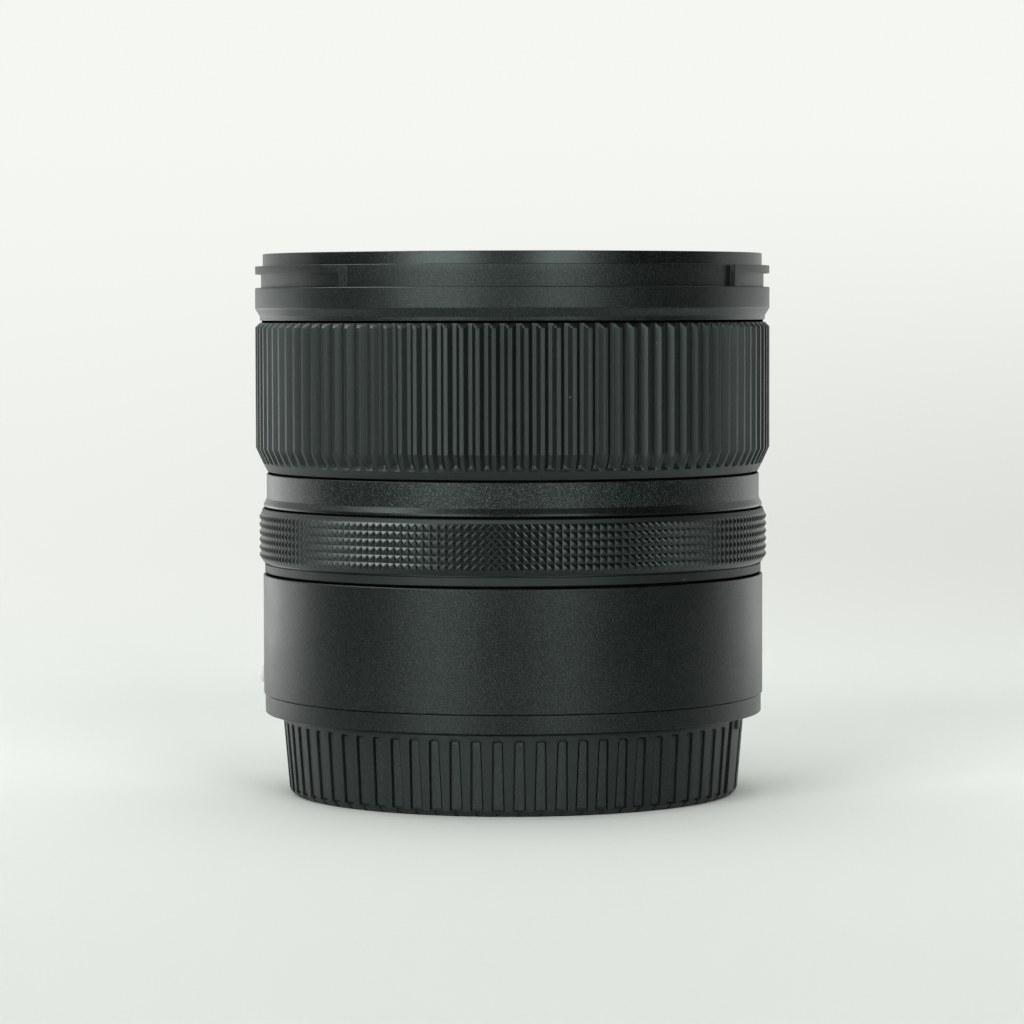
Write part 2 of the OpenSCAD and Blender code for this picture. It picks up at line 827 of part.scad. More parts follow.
// Chassis: the fixed tube that carries the rings, with the spring's groove and key
module chassis_tube() {
  key = spring_leg_at - leg_half;
  groove_z = spring_z - spring_groove_h / 2;
  color(inner_black)
    difference() {
      tube(tube_r, tube_in, plate_top, tube_top - plate_top);
      sector(
        tube_r - spring_groove, tube_r + overcut, groove_z, spring_groove_h, key, 360 - 2 * key
      );
      for (z = sensor_heights)
        sector(
          tube_r - sensor_sink, tube_r + overcut, z - sensor_h / 2 - seat_fit, sensor_h + 2 * seat_fit,
          sensor_heading - sensor_slack, sensor_arc + 2 * sensor_slack
        );
    }
}

// Upright slots in the guide tube for three followers
module guide_slots(pin_z, travel) {
  half = pin_r + run_fit;
  for (i = [0 : follower_count - 1])
    rotate(follower_first + i * 360 / follower_count)
      translate([guide_in - root, -half, pin_z - half])
        cube([guide_wall + 2 * root, 2 * half, travel + 2 * half]);
}

// Straight guide tube, hung from a flange under the front group
module guide_tube() {
  color(inner_black)
    difference() {
      union() {
        tube(guide_out, guide_in, guide_z, group_z - guide_z);
        tube(tube_in - seat_fit, guide_in, group_z - guide_flange_t, guide_flange_t);
      }
      guide_slots(zoom_pin_z, zoom_travel);
      guide_slots(rear_pin_z, rear_travel);
    }
}

// Helical cutter for one follower: a band of constant height that climbs as it runs backwards
module cam_slot(pin_z, travel, start) {
  steps = 14;
  run = cam_turn / steps;
  lead = travel / (cam_turn * PI / 180 * cam_in);
  half = (pin_r + run_fit) * sqrt(1 + lead * lead) + run_fit;
  spare = 1;
  reach = asin((pin_r + run_fit) / cam_in) + spare;
  angles = concat([-reach], [for (i = [0 : steps]) i * run], [cam_turn + reach]);
  inner = cam_in - root;
  outer = cam_out + root;
  points = [
    for (a = angles)
      let (
        z = pin_z + travel * a / cam_turn,
        in_at = polar(inner, start - a),
        out_at = polar(outer, start - a)
      )
      each [
        [in_at[0], in_at[1], z - half], [out_at[0], out_at[1], z - half],
        [out_at[0], out_at[1], z + half], [in_at[0], in_at[1], z + half]
      ]
  ];
  last = 4 * (len(angles) - 1);
  polyhedron(
    points = points,
    faces = concat(
      [[0, 1, 2, 3]],
      [for (i = [0 : len(angles) - 2]) for (k = [0 : 3])
        let (a = 4 * i + k, b = 4 * i + (k + 1) % 4)
        each [[a, b + 4, b], [a, a + 4, b + 4]]],
      [[last + 3, last + 2, last + 1, last]]
    )
  );
}

// Cam tube: six helical slots, and a gear sector inside its rear edge
module cam_tube() {
  foot = plate_top + clear;
  gear_root = cam_gear_r + tooth_root * cam_module;
  tooth_pitch = 360 / cam_teeth;
  teeth_behind = ceil((cam_turn + sector_margin) / tooth_pitch);
  teeth_ahead = ceil(sector_margin / tooth_pitch);
  color(metal_grey)
    union() {
      difference() {
        tube(cam_out, cam_in, foot, group_z - guide_flange_t - clear - foot);
        translate([0, 0, foot - overcut]) cylinder(r = gear_root, h = cam_gear_h + overcut);
        for (i = [0 : follower_count - 1]) {
          cam_slot(zoom_pin_z, zoom_travel, follower_first + i * 360 / follower_count);
          cam_slot(rear_pin_z, rear_travel, follower_first + i * 360 / follower_count);
        }
      }
      for (k = [-teeth_behind : teeth_ahead - 1])
        tooth(
          cam_gear_r, cam_module, -tooth_reach * cam_module, tooth_sink * cam_module,
          foot, cam_gear_h - clear, idler_heading + (k + 0.5) * tooth_pitch
        );
    }
}

// Bosses on a carriage that hold its follower pins
module follower_bosses(z) {
  for (i = [0 : follower_count - 1])
    radial_pin(
      boss_r, boss_root, carriage_in + carriage_wall / 2, z, follower_first + i * 360 / follower_count
    );
}

module follower_bores(z) {
  for (i = [0 : follower_count - 1])
    radial_pin(
      pin_r + seat_fit, boss_root + root, carriage_r + overcut, z, follower_first + i * 360 / follower_count
    );
}

module follower_pins(z) {
  for (i = [0 : follower_count - 1])
    radial_pin(pin_r, boss_root + root, pin_end, z, follower_first + i * 360 / follower_count);
}

// Front carriage: a sleeve with a web, a hub for its element and anchors for the stabiliser
module zoom_carriage() {
  hub_r = zoom_glass[3] + zoom_hub_wall;
  bore = zoom_glass[3] + seat_fit;
  edge_z = web_z + web_t;
  color(inner_black)
    difference() {
      union() {
        tube(carriage_r, carriage_in, zoom_carriage_z, zoom_carriage_h);
        translate([0, 0, web_z]) cylinder(r = carriage_in + carriage_wall / 2, h = web_t);
        translate([0, 0, web_z]) cylinder(r = hub_r, h = hub_h);
        follower_bosses(zoom_pin_z);
        for (side = [-1, 1])
          translate([side * (anchor_in + anchor_w / 2) - anchor_w / 2, -anchor_w / 2, stabiliser_z])
            cube([anchor_w, anchor_w, web_z - stabiliser_z + web_t / 2]);
      }
      translate([0, 0, edge_z]) cylinder(r = bore, h = hub_h);
      translate([0, 0, web_z - overcut]) cylinder(r = bore - lens_lip, h = hub_h);
      follower_bores(zoom_pin_z);
      for (side = [0, 180])
        radial_pin(
          guide_pin_r + run_fit, anchor_in - overcut, anchor_in + anchor_w + overcut,
          stabiliser_z + stabiliser_t / 2, side
        );
      rotate(iris_motor_heading)
        translate([iris_pinion_ring, 0, web_z - overcut])
          cylinder(r = shaft_r + run_fit, h = web_t + 2 * overcut);
    }
}

module zoom_carriage_pins() {
  color(metal_grey) follower_pins(zoom_pin_z);
}

module zoom_lens() {
  vertex = seated(web_z + web_t, zoom_glass);
  color(glass_tint) element(vertex, zoom_glass, vertex - zoom_glass[2], vertex);
}

// Iris base: a plate with seven pivot holes and three posts that centre the drive ring
module iris_base() {
  color(inner_black)
    difference() {
      union() {
        translate([0, 0, iris_z]) cylinder(r = iris_r, h = iris_base_t);
        for (i = [0 : follower_count - 1])
          rotate(follower_first + i * 360 / follower_count)
            translate([post_ring, 0, iris_z]) cylinder(r = post_r, h = iris_cover_z - iris_z);
      }
      translate([0, 0, iris_z - overcut]) cylinder(r = iris_open_r, h = iris_base_t + 2 * overcut);
      for (i = [0 : blade_count - 1])
        rotate(i * 360 / blade_count)
          translate([pivot_r, 0, iris_z - overcut])
            cylinder(r = pivot_pin_r + run_fit, h = iris_base_t + 2 * overcut);
      rotate(iris_motor_heading)
        translate([iris_pinion_ring, 0, iris_z - overcut])
          cylinder(r = shaft_r + clear, h = iris_base_t + 2 * overcut);
    }
}

// One iris blade: a curved leaf on its own level, a pivot pin below and a drive pin above
module iris_blade(i) {
  z = blade_z + i * blade_pitch;
  root_w = 1.6;
  eye_r = 1.1;
  color(metal_grey)
    rotate(i * 360 / blade_count)
      union() {
        sector(blade_in, blade_out, z, blade_t, 0, blade_arc);
        translate([blade_in + root, -root_w / 2, z]) cube([tail_r - blade_in - root, root_w, blade_t]);
        translate([pivot_r, 0, z]) cylinder(r = eye_r, h = blade_t);
        translate([tail_r, 0, z]) cylinder(r = eye_r - edge, h = blade_t);
        translate([pivot_r, 0, iris_z]) cylinder(r = pivot_pin_r, h = z + blade_t / 2 - iris_z);
        translate([tail_r, 0, z + blade_t / 2])
          cylinder(r = tail_pin_r, h = drive_z + drive_t - z - blade_t / 2);
      }
}

module iris_blade_1() { iris_blade(0); }
module iris_blade_2() { iris_blade(1); }
module iris_blade_3() { iris_blade(2); }
module iris_blade_4() { iris_blade(3); }
module iris_blade_5() { iris_blade(4); }
module iris_blade_6() { iris_blade(5); }
module iris_blade_7() { iris_blade(6); }

// Drive ring: seven radial slots for the blades' pins and a short gear sector
module iris_drive_ring() {
  slot_half = tail_pin_r + run_fit;
  tail_in = norm([pivot_r + tail_reach * cos(blade_turn), tail_reach * sin(blade_turn)]);
  sector_teeth = 5;
  color(inner_black)
    union() {
      difference() {
        tube(drive_out, drive_in, drive_z, drive_t);
        for (i = [0 : blade_count - 1])
          rotate(i * 360 / blade_count)
            translate([tail_in - slot_half, -slot_half, drive_z - overcut])
              cube([tail_r - tail_in + 2 * slot_half, 2 * slot_half, drive_t + 2 * overcut]);
      }
      for (k = [-sector_teeth : sector_teeth - 1])
        tooth(
          iris_teeth * motor_module / 2, motor_module, tooth_reach * motor_module, tooth_sink * motor_module,
          drive_z, drive_t, iris_motor_heading + (k + 0.5) * 360 / iris_teeth
        );
    }
}

module iris_cover() {
  color(inner_black)
    tube(iris_r, iris_open_r + clear, iris_cover_z, iris_cover_t);
}

// Flat stepping motor under the web, and its pinion on a long shaft
module iris_motor() {
  h = web_z - stabiliser_z;
  color(metal_grey)
    rotate(iris_motor_heading)
      translate([iris_pinion_ring, 0, stabiliser_z])
        difference() {
          cylinder(r = iris_motor_r, h = h);
          translate([0, 0, floor_t / 2]) cylinder(r = shaft_r + run_fit, h = h);
        }
}

module iris_pinion() {
  shaft_z = stabiliser_z + floor_t;
  color(metal_grey)
    rotate(iris_motor_heading)
      translate([iris_pinion_ring, 0, 0])
        union() {
          translate([0, 0, shaft_z]) cylinder(r = shaft_r, h = drive_z + drive_t - shaft_z);
          translate([0, 0, drive_z]) rotate(180) gear(motor_teeth, motor_module, drive_t);
        }
}

// Stabiliser: the frame slides in the yoke along Y, and the yoke in the carriage along X
module stabiliser_yoke() {
  color(inner_black)
    union() {
      difference() {
        tube(yoke_r, yoke_in, stabiliser_z, stabiliser_t);
        for (side = [90, 270])
          radial_pin(
            guide_pin_r + run_fit, yoke_in - root, yoke_r + overcut, stabiliser_z + stabiliser_t / 2, side
          );
      }
      for (side = [0, 180])
        radial_pin(
          guide_pin_r, yoke_r - root, anchor_in + anchor_w - stabiliser_shift,
          stabiliser_z + stabiliser_t / 2, side
        );
    }
}

module stabiliser_frame() {
  bore = stabiliser_glass[3] + seat_fit;
  color(inner_black)
    union() {
      difference() {
        tube(frame_r, bore - lens_lip, stabiliser_z, stabiliser_t);
        translate([0, 0, stabiliser_z + stabiliser_t / 4]) cylinder(r = bore, h = stabiliser_t);
      }
      for (side = [90, 270])
        radial_pin(
          guide_pin_r, frame_r - root, yoke_r - stabiliser_shift - edge, stabiliser_z + stabiliser_t / 2, side
        );
    }
}

module stabiliser_lens() {
  foot = stabiliser_z + stabiliser_t / 4;
  vertex = foot + stabiliser_glass[2];
  rim = stabiliser_z + stabiliser_t - level_gap;
  color(glass_tint) element(vertex, stabiliser_glass, foot, rim);
}

// Rear carriage: a sleeve with a web, a hub for its element and seats for the focus unit
module rear_carriage() {
  bore = rear_zoom_glass[3] + seat_fit;
  color(inner_black)
    difference() {
      union() {
        tube(carriage_r, carriage_in, rear_carriage_z, rear_carriage_h);
        translate([0, 0, rear_carriage_z]) cylinder(r = carriage_in + carriage_wall / 2, h = web_t);
        translate([0, 0, rear_carriage_z - rear_hub_reach])
          cylinder(r = rear_hub_r, h = 2 * rear_hub_reach);
        follower_bosses(rear_pin_z);
      }
      translate([0, 0, rear_carriage_z - rear_seat_drop])
        cylinder(r = bore, h = rear_hub_reach + rear_seat_drop + overcut);
      translate([0, 0, rear_carriage_z - rear_hub_reach - overcut])
        cylinder(r = bore - lens_lip, h = 2 * rear_hub_reach);
      follower_bores(rear_pin_z);
      for (side = [-1, 1])
        translate([side * focus_drive_r, 0, rear_carriage_z - overcut])
          cylinder(r = rod_r + seat_fit, h = web_t + 2 * overcut);
    }
}

module rear_carriage_pins() {
  color(metal_grey) follower_pins(rear_pin_z);
}

module rear_zoom_lens() {
  vertex = seated(rear_carriage_z - rear_seat_drop, rear_zoom_glass);
  color(glass_tint) element(vertex, rear_zoom_glass, vertex - rear_zoom_glass[2], vertex);
}

// Focus carriage: a lens ring with a sleeve, a fork and a nut on three arms
module focus_carriage() {
  bore = focus_glass[3] + seat_fit;
  ring_r = bore + focus_wall;
  arm_w = 2.4;
  eye_r = 1.8;
  color(inner_black)
    difference() {
      union() {
        translate([0, 0, focus_z]) cylinder(r = ring_r, h = focus_h);
        for (turn = [0, 90, 180])
          rotate(turn)
            translate([bore, -arm_w / 2, focus_z]) cube([focus_drive_r - bore, arm_w, focus_h]);
        for (turn = [0, 90, 180])
          rotate(turn)
            translate([focus_drive_r, 0, focus_z]) cylinder(r = eye_r, h = focus_h);
      }
      translate([0, 0, focus_z - overcut]) cylinder(r = bore - lens_lip, h = focus_h + 2 * overcut);
      translate([0, 0, focus_z + lip_t]) cylinder(r = bore, h = focus_h);
      translate([focus_drive_r, 0, focus_z - overcut])
        cylinder(r = rod_r + run_fit, h = focus_h + 2 * overcut);
      translate([-focus_drive_r - eye_r - overcut, -rod_r - run_fit, focus_z - overcut])
        cube([eye_r + 2 * rod_r + overcut, 2 * (rod_r + run_fit), focus_h + 2 * overcut]);
      rotate(screw_heading)
        translate([focus_drive_r, 0, focus_z - overcut])
          cylinder(r = screw_r + run_fit, h = focus_h + 2 * overcut);
    }
}

module focus_lens() {
  foot = focus_z + lip_t;
  vertex = foot + focus_glass[2];
  color(glass_tint) element(vertex, focus_glass, foot, focus_z + focus_h - edge);
}

module focus_rods() {
  color(metal_grey)
    for (side = [-1, 1])
      translate([side * focus_drive_r, 0, rear_carriage_z])
        cylinder(r = rod_r, h = rod_top - rear_carriage_z);
}

module focus_motor() {
  foot = rear_carriage_z + web_t;
  color(metal_grey)
    rotate(screw_heading)
      translate([focus_drive_r, 0, foot])
        difference() {
          cylinder(r = focus_motor_r, h = focus_motor_h);
          translate([0, 0, floor_t / 2]) cylinder(r = screw_r + run_fit, h = focus_motor_h);
        }
}

module focus_screw() {
  foot = rear_carriage_z + web_t + floor_t;
  color(metal_grey)
    rotate(screw_heading)
      translate([focus_drive_r, 0, foot]) cylinder(r = screw_r, h = rod_top - foot);
}

// Rear plate: closes the drive bay and carries the idler's upper journal
module rear_plate() {
  color(inner_black)
    difference() {
      tube(tube_r, rear_hub_r + plate_room, plate_z, plate_t);
      translate([idler_at[0], idler_at[1], plate_z - overcut])
        cylinder(r = journal_r + run_fit, h = plate_t + 2 * overcut);
    }
}

module zoom_motor() {
  color(metal_grey)
    translate([motor_at[0], motor_at[1], bay_z])
      difference() {
        cylinder(r = zoom_motor_r, h = zoom_motor_h);
        translate([0, 0, floor_t]) cylinder(r = stub_r + run_fit, h = zoom_motor_h);
      }
}

module zoom_motor_pinion() {
  shaft_z = bay_z + 2 * floor_t;
  color(metal_grey)
    translate([motor_at[0], motor_at[1], 0])
      union() {
        translate([0, 0, shaft_z]) cylinder(r = stub_r, h = motor_gear_z + motor_gear_h - shaft_z);
        translate([0, 0, motor_gear_z])
          rotate(mesh_heading + 180 + 180 / motor_teeth) gear(motor_teeth, motor_module, motor_gear_h);
      }
}

// Idler: a wheel below the rear plate and a pinion above it, on one journal
module zoom_idler_gear() {
  pinion_z = plate_top + clear;
  stub_z = motor_gear_z - stub_reach;
  color(metal_grey)
    translate([idler_at[0], idler_at[1], 0])
      union() {
        translate([0, 0, motor_gear_z]) rotate(mesh_heading) gear(wheel_teeth, motor_module, motor_gear_h);
        translate([0, 0, motor_gear_z]) cylinder(r = journal_r, h = pinion_z + floor_t - motor_gear_z);
        translate([0, 0, pinion_z]) rotate(idler_heading) gear(pinion_teeth, cam_module, cam_gear_h - clear);
        translate([0, 0, stub_z]) cylinder(r = stub_r, h = motor_gear_z + floor_t - stub_z);
      }
}

// Main board: an open ring on the rear frame's standoffs, clear of the drive
board_in = rear_bore_r + board_room;
board_out = tube_r - frame_wall - clear;
board_gap = 80;
board_lead = 10;
board_t = 1;
standoff_h = 1.2;
standoff_r = 1.2;
board_z = bay_z + standoff_h;
board_start = idler_heading + board_gap / 2 + board_lead;
board_arc = 360 - board_gap;

module main_board() {
  color("#1f4a35") sector(board_in, board_out, board_z, board_t, board_start, board_arc);
}

module board_chips() {
  chip = [4, 4, 1];
  chip_count = 6;
  ring = (board_in + board_out) / 2;
  color(inner_black)
    for (i = [0 : chip_count - 1])
      rotate(board_start + (i + 0.5) * board_arc / chip_count)
        translate([ring - chip[0] / 2, -chip[1] / 2, board_z + board_t]) cube(chip);
}

// Rear frame: floor of the drive bay, its wall, the idler's foot post and the board's standoffs
module rear_frame() {
  ring = (board_in + board_out) / 2;
  standoff_count = 4;
  post_h = motor_gear_z - post_gap - bay_z;
  color(inner_black)
    difference() {
      union() {
        tube(tube_r, rear_bore_r + seat_fit, floor_z, floor_t);
        tube(tube_r, tube_r - frame_wall, floor_z, plate_z - floor_z);
        for (i = [0 : standoff_count - 1])
          rotate(board_start + (i + 0.5) * board_arc / standoff_count)
            translate([ring, 0, floor_z + floor_t / 2])
              cylinder(r = standoff_r, h = standoff_h + floor_t / 2);
        translate([idler_at[0], idler_at[1], floor_z + floor_t / 2])
          cylinder(r = stub_r + run_fit + post_wall, h = post_h + floor_t / 2);
      }
      translate([idler_at[0], idler_at[1], bay_z + floor_t])
        cylinder(r = stub_r + run_fit, h = post_h);
      mount_screw_places() translate([0, 0, floor_z - overcut])
        cylinder(r = screw_shank_r + seat_fit, h = floor_t + 2 * overcut);
    }
}

module rear_lens_frame() {
  bore = rear_glass[3] + seat_fit;
  foot = rear_seat_z - lip_t;
  color(inner_black)
    difference() {
      union() {
        translate([0, 0, foot]) cylinder(r = rear_bore_r, h = bay_z + floor_t - foot);
        translate([0, 0, bay_z]) cylinder(r = rear_bore_r + rear_flange_w, h = floor_t);
      }
      translate([0, 0, foot - overcut]) cylinder(r = bore - lens_lip, h = bay_z);
      translate([0, 0, rear_seat_z]) cylinder(r = bore, h = bay_z);
    }
}

module rear_element() {
  vertex = rear_seat_z + rear_glass[2];
  color(glass_tint) element(vertex, rear_glass, rear_seat_z, vertex);
}

module mount_screw_places() {
  for (i = [0 : claw_count - 1])
    rotate((i + 0.5) * 360 / claw_count)
      translate([mount_screw_ring, 0, 0]) children();
}

// Bayonet mount: spigot with claws, flange and a neck up to the rear frame
module lens_mount() {
  neck_in = spigot_r;
  color(cap_black)
    difference() {
      union() {
        tube(spigot_r, spigot_in, claw_z, flange_z + flange_t - claw_z);
        tube(flange_r, spigot_in, flange_z, flange_t);
        tube(flange_r, neck_in, flange_z, floor_z - flange_z);
        for (i = [0 : claw_count - 1])
          sector(
            spigot_r - root, claw_r, claw_z, claw_t, i * 360 / claw_count - claw_arc / 2, claw_arc
          );
      }
      mount_screw_places() {
        translate([0, 0, flange_z - overcut])
          cylinder(r = screw_head_r + seat_fit, h = screw_head_t + overcut);
        translate([0, 0, flange_z]) cylinder(r = screw_shank_r + seat_fit, h = floor_z);
      }
    }
}

module mount_screws() {
  color(metal_grey)
    mount_screw_places()
      union() {
        translate([0, 0, flange_z + seat_fit]) cylinder(r = screw_head_r, h = screw_head_t - seat_fit);
        translate([0, 0, flange_z + seat_fit])
          cylinder(r = screw_shank_r, h = bay_z - flange_z - seat_fit);
      }
}

// Rear baffle with its oblong window
module rear_baffle() {
  window = [26, 18];
  color(inner_black)
    translate([0, 0, baffle_z])
      difference() {
        cylinder(r = spigot_in - seat_fit, h = baffle_t);
        translate([-window[0] / 2, -window[1] / 2, -overcut])
          cube([window[0], window[1], baffle_t + 2 * overcut]);
      }
}

contact_heading = 90;
contact_block_w = 3;
contact_sink = 0.8;
contact_arc = (contact_count - 1) * contact_pitch;

module contact_places() {
  for (i = [0 : contact_count - 1])
    rotate(contact_heading - contact_arc / 2 + i * contact_pitch)
      translate([contact_ring, 0, 0]) children();
}

module contact_block() {
  z = claw_z + contact_sink;
  color(cap_black)
    difference() {
      sector(
        contact_ring - contact_block_w / 2, contact_ring + contact_block_w / 2, z, baffle_z - z,
        contact_heading - contact_arc / 2 - contact_pitch, contact_arc + 2 * contact_pitch
      );
      contact_places() translate([0, 0, z - overcut]) cylinder(r = contact_r + seat_fit, h = baffle_z - z);
    }
}

module contact_pins() {
  z = claw_z + contact_sink;
  stand = 0.3;
  color("#c9a23a")
    contact_places() translate([0, 0, z - stand]) cylinder(r = contact_r, h = baffle_z - z);
}

// Rear barrel: the plain cover behind the control ring, with a seat for the index dot
dot_azimuth = -88;
dot_r = 1.2;
dot_lift = 2.65;
dot_z = barrel_z + dot_lift;
dot_sink = 0.8;
dot_dome_r = 2.4;

module rear_barrel() {
  color(grain_black)
    difference() {
      rotate_extrude()
        polygon([
          [shell_in, barrel_z],
          [rear_r - edge, barrel_z],
          [rear_r, barrel_z + edge],
          [rear_r, barrel_z + rear_barrel_h - edge],
          [rear_r - edge, barrel_z + rear_barrel_h],
          [shell_in, barrel_z + rear_barrel_h]
        ]);
      radial_pin(dot_r + seat_fit, rear_r - dot_sink, rear_r + root, dot_z, heading(dot_azimuth));
    }
}

// Index dot: a short plug with a domed face
module index_dot() {
  rise = sag(dot_dome_r, dot_r);
  foot = rear_r - dot_sink + seat_fit;
  reach = dot_sink + rise;
  color("#e8e8e4")
    rotate(heading(dot_azimuth))
      translate([foot, 0, dot_z])
        intersection() {
          rotate([0, 90, 0]) cylinder(r = dot_r, h = reach);
          translate([reach - dot_dome_r, 0, 0]) sphere(r = dot_dome_r);
        }
}

// Rear ring: closes the barrel below its seam, and shows a flat underside around the cap
module rear_ring() {
  r = rear_ring_r;
  color(grain_black)
    rotate_extrude()
      polygon([
        [flange_r + edge, rear_z],
        [r - edge, rear_z],
        [r, rear_z + edge],
        [r, barrel_z],
        [shell_in, barrel_z],
        [shell_in, floor_z],
        [flange_r + edge, floor_z]
      ]);
}

// Rear cap: a tapered cup with upright slots outside and bayonet tabs inside
slot_z = 0.8;
slot_drop = 0.9;
slot_top = cap_h - slot_drop;
nub_azimuth = 68;

module cap_slot() {
  lean = atan2(cap_taper, cap_h);
  round_r = slot_w / 4;
  foot_w = slot_w + slot_spread;
  length = slot_top - slot_z;
  translate([cap_foot_r, 0, 0])
    rotate([0, lean, 0])
      translate([-slot_depth, 0, slot_z])
        rotate([90, 0, 90])
          linear_extrude(height = 2 * slot_depth)
            polygon([
              [-foot_w / 2, 0],
              [foot_w / 2, 0],
              [slot_w / 2, length - round_r],
              [slot_w / 2 - round_r, length],
              [round_r - slot_w / 2, length],
              [-slot_w / 2, length - round_r]
            ]);
}

module rear_cap() {
  recess_w = 6;
  recess_r = cap_foot_r - recess_w;
  recess_t = 0.3;
  bevel = 0.5;
  nub_r = 0.8;
  nub_drop = 1.6;
  nub_z = cap_h - nub_drop;
  color(cap_black)
    union() {
      difference() {
        rotate_extrude()
          polygon([
            [0, recess_t],
            [recess_r - recess_t, recess_t],
            [recess_r, 0],
            [cap_foot_r - bevel, 0],
            [cap_foot_r, bevel],
            [cap_top_r, cap_h - edge],
            [cap_top_r - edge, cap_h],
            [cap_top_r - cap_wall, cap_h],
            [cap_foot_r - cap_wall, cap_floor_t],
            [0, cap_floor_t]
          ]);
        for (i = [0 : slot_count - 1])
          rotate(heading(slot_azimuth + i * 360 / slot_count)) cap_slot();
      }
      for (i = [0 : claw_count - 1])
        sector(
          spigot_r + clear, cap_foot_r - cap_wall / 2, tab_z, tab_t,
          i * 360 / claw_count - tab_arc / 2, tab_arc
        );
      radial_pin(nub_r, cap_top_r - cap_wall / 2, cap_top_r + edge, nub_z, heading(nub_azimuth));
    }
}

front_ring();
front_trim_ring();
front_element();
second_element();
third_element();
front_group_frame();
zoom_ring();
zoom_ring_grip();
zoom_return_spring();
ring_sensors();
middle_band();
control_ring();
chassis_tube();
guide_tube();
cam_tube();
zoom_carriage();
zoom_carriage_pins();
zoom_lens();
iris_base();
iris_drive_ring();
iris_cover();
iris_motor();
iris_pinion();
iris_blade_1();
iris_blade_2();
iris_blade_3();
iris_blade_4();
iris_blade_5();
iris_blade_6();
iris_blade_7();
stabiliser_yoke();
stabiliser_frame();
stabiliser_lens();
rear_carriage();
rear_carriage_pins();
rear_zoom_lens();
focus_carriage();
focus_lens();
focus_rods();
focus_motor();
focus_screw();
rear_plate();
zoom_motor();
zoom_motor_pinion();
zoom_idler_gear();
main_board();
board_chips();
rear_frame();
rear_lens_frame();
rear_element();
lens_mount();
mount_screws();
rear_baffle();
contact_block();
contact_pins();
rear_barrel();
rear_ring();
index_dot();
rear_cap();
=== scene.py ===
"""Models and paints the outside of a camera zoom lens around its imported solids."""
import json
import math

import bmesh
import bpy
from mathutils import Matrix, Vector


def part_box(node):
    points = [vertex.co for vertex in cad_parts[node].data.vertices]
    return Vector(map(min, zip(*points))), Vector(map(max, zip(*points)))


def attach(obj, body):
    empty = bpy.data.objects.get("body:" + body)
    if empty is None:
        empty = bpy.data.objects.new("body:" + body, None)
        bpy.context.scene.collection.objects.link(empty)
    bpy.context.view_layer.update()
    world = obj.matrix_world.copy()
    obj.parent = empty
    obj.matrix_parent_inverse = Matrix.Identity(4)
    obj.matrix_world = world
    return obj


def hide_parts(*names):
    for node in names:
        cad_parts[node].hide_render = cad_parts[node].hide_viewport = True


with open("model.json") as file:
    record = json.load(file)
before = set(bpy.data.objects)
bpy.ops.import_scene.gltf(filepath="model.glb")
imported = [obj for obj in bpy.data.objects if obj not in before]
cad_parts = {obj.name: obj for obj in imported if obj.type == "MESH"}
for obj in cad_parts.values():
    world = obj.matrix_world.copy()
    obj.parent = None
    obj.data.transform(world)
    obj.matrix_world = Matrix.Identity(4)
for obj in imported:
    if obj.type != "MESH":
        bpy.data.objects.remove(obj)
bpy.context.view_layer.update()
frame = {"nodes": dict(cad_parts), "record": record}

bl_info = {
    "name": "Zoom lens dresser",
    "version": (1, 0, 0),
    "blender": (4, 5, 0),
    "location": "3D View > Sidebar > Lens",
    "description": "Models and paints the outside of a camera zoom lens around its solids",
    "category": "Object",
}

MM = 0.001
# Points closer than this are one point
MERGE = 1e-6
# Segments around a smooth turned ring
SEGMENTS = 512
# Millimetres that the seam between middle band and control ring stands above the solids' seam
SEAM_LIFT = 0.22


def span(node):
    """Lowest and highest point of a solid along the lens axis, in millimetres."""
    low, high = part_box(node)
    return low.z / MM, high.z / MM


def reach(node):
    """Largest radius of a solid about the lens axis, in millimetres."""
    low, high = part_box(node)
    return max(-low.x, high.x, -low.y, high.y) / MM


def angle(name, text, degrees):
    """An angle that the user can change."""
    return bpy.props.FloatProperty(
        name=name, description=text, default=math.radians(degrees), subtype="ANGLE")


def length(name, text, millimetres):
    """A size that the user can change, kept in metres."""
    return bpy.props.FloatProperty(
        name=name, description=text, default=millimetres * MM, min=0, precision=5, unit="LENGTH")


def count(name, text, number, least=3):
    """A number of like features that the user can change."""
    return bpy.props.IntProperty(name=name, description=text, default=number, min=least)


def tint(name, text, red, green, blue):
    """A colour that the user can change."""
    return bpy.props.FloatVectorProperty(
        name=name, description=text, default=(red, green, blue), min=0, max=1, size=3,
        subtype="COLOR")


class LensSizes(bpy.types.PropertyGroup):
    """Sizes of the outer pieces that the solids leave open."""
    rim_height: length("Rim height", "Height of the rim above the hood lugs", 1.72)
    lug_thickness: length("Lug thickness", "Thickness of a hood lug", 1.08)
    lug_groove: length("Lug groove", "Height of the groove under the hood lugs", 1.9)
    lug_arc: angle("Lug arc", "Arc of a hood lug", 84)
    lug_middle: angle("Lug middle", "Azimuth of the first hood lug's middle", 99)
    filter_radius: length("Filter radius", "Radius of the filter bore", 33.5)
    filter_depth: length("Filter depth", "Depth of the filter bore", 4.5)
    thread_pitch: length("Thread pitch", "Pitch of the filter thread", 0.75)
    rib_count: count("Ribs", "Ribs around the zoom ring", 105)
    rib_depth: length("Rib depth", "Depth of the grooves between ribs", 0.7)
    rib_azimuth: angle("Rib azimuth", "Azimuth of a rib's middle", -0.48)
    knurl_columns: count("Knurl columns", "Pyramids around the control ring", 213)
    knurl_rows: count("Knurl rows", "Rows of pyramids on the control ring", 6, 1)
    knurl_height: length("Knurl height", "Height of a pyramid", 0.34)
    knurl_azimuth: angle("Knurl azimuth", "Azimuth of a pyramid's peak", -0.32)
    slot_count: count("Cap slots", "Slots around the rear cap", 70)
    slot_depth: length("Slot depth", "Depth of a cap slot", 0.25)
    slot_azimuth: angle("Slot azimuth", "Azimuth of a cap slot's middle", 1.4)


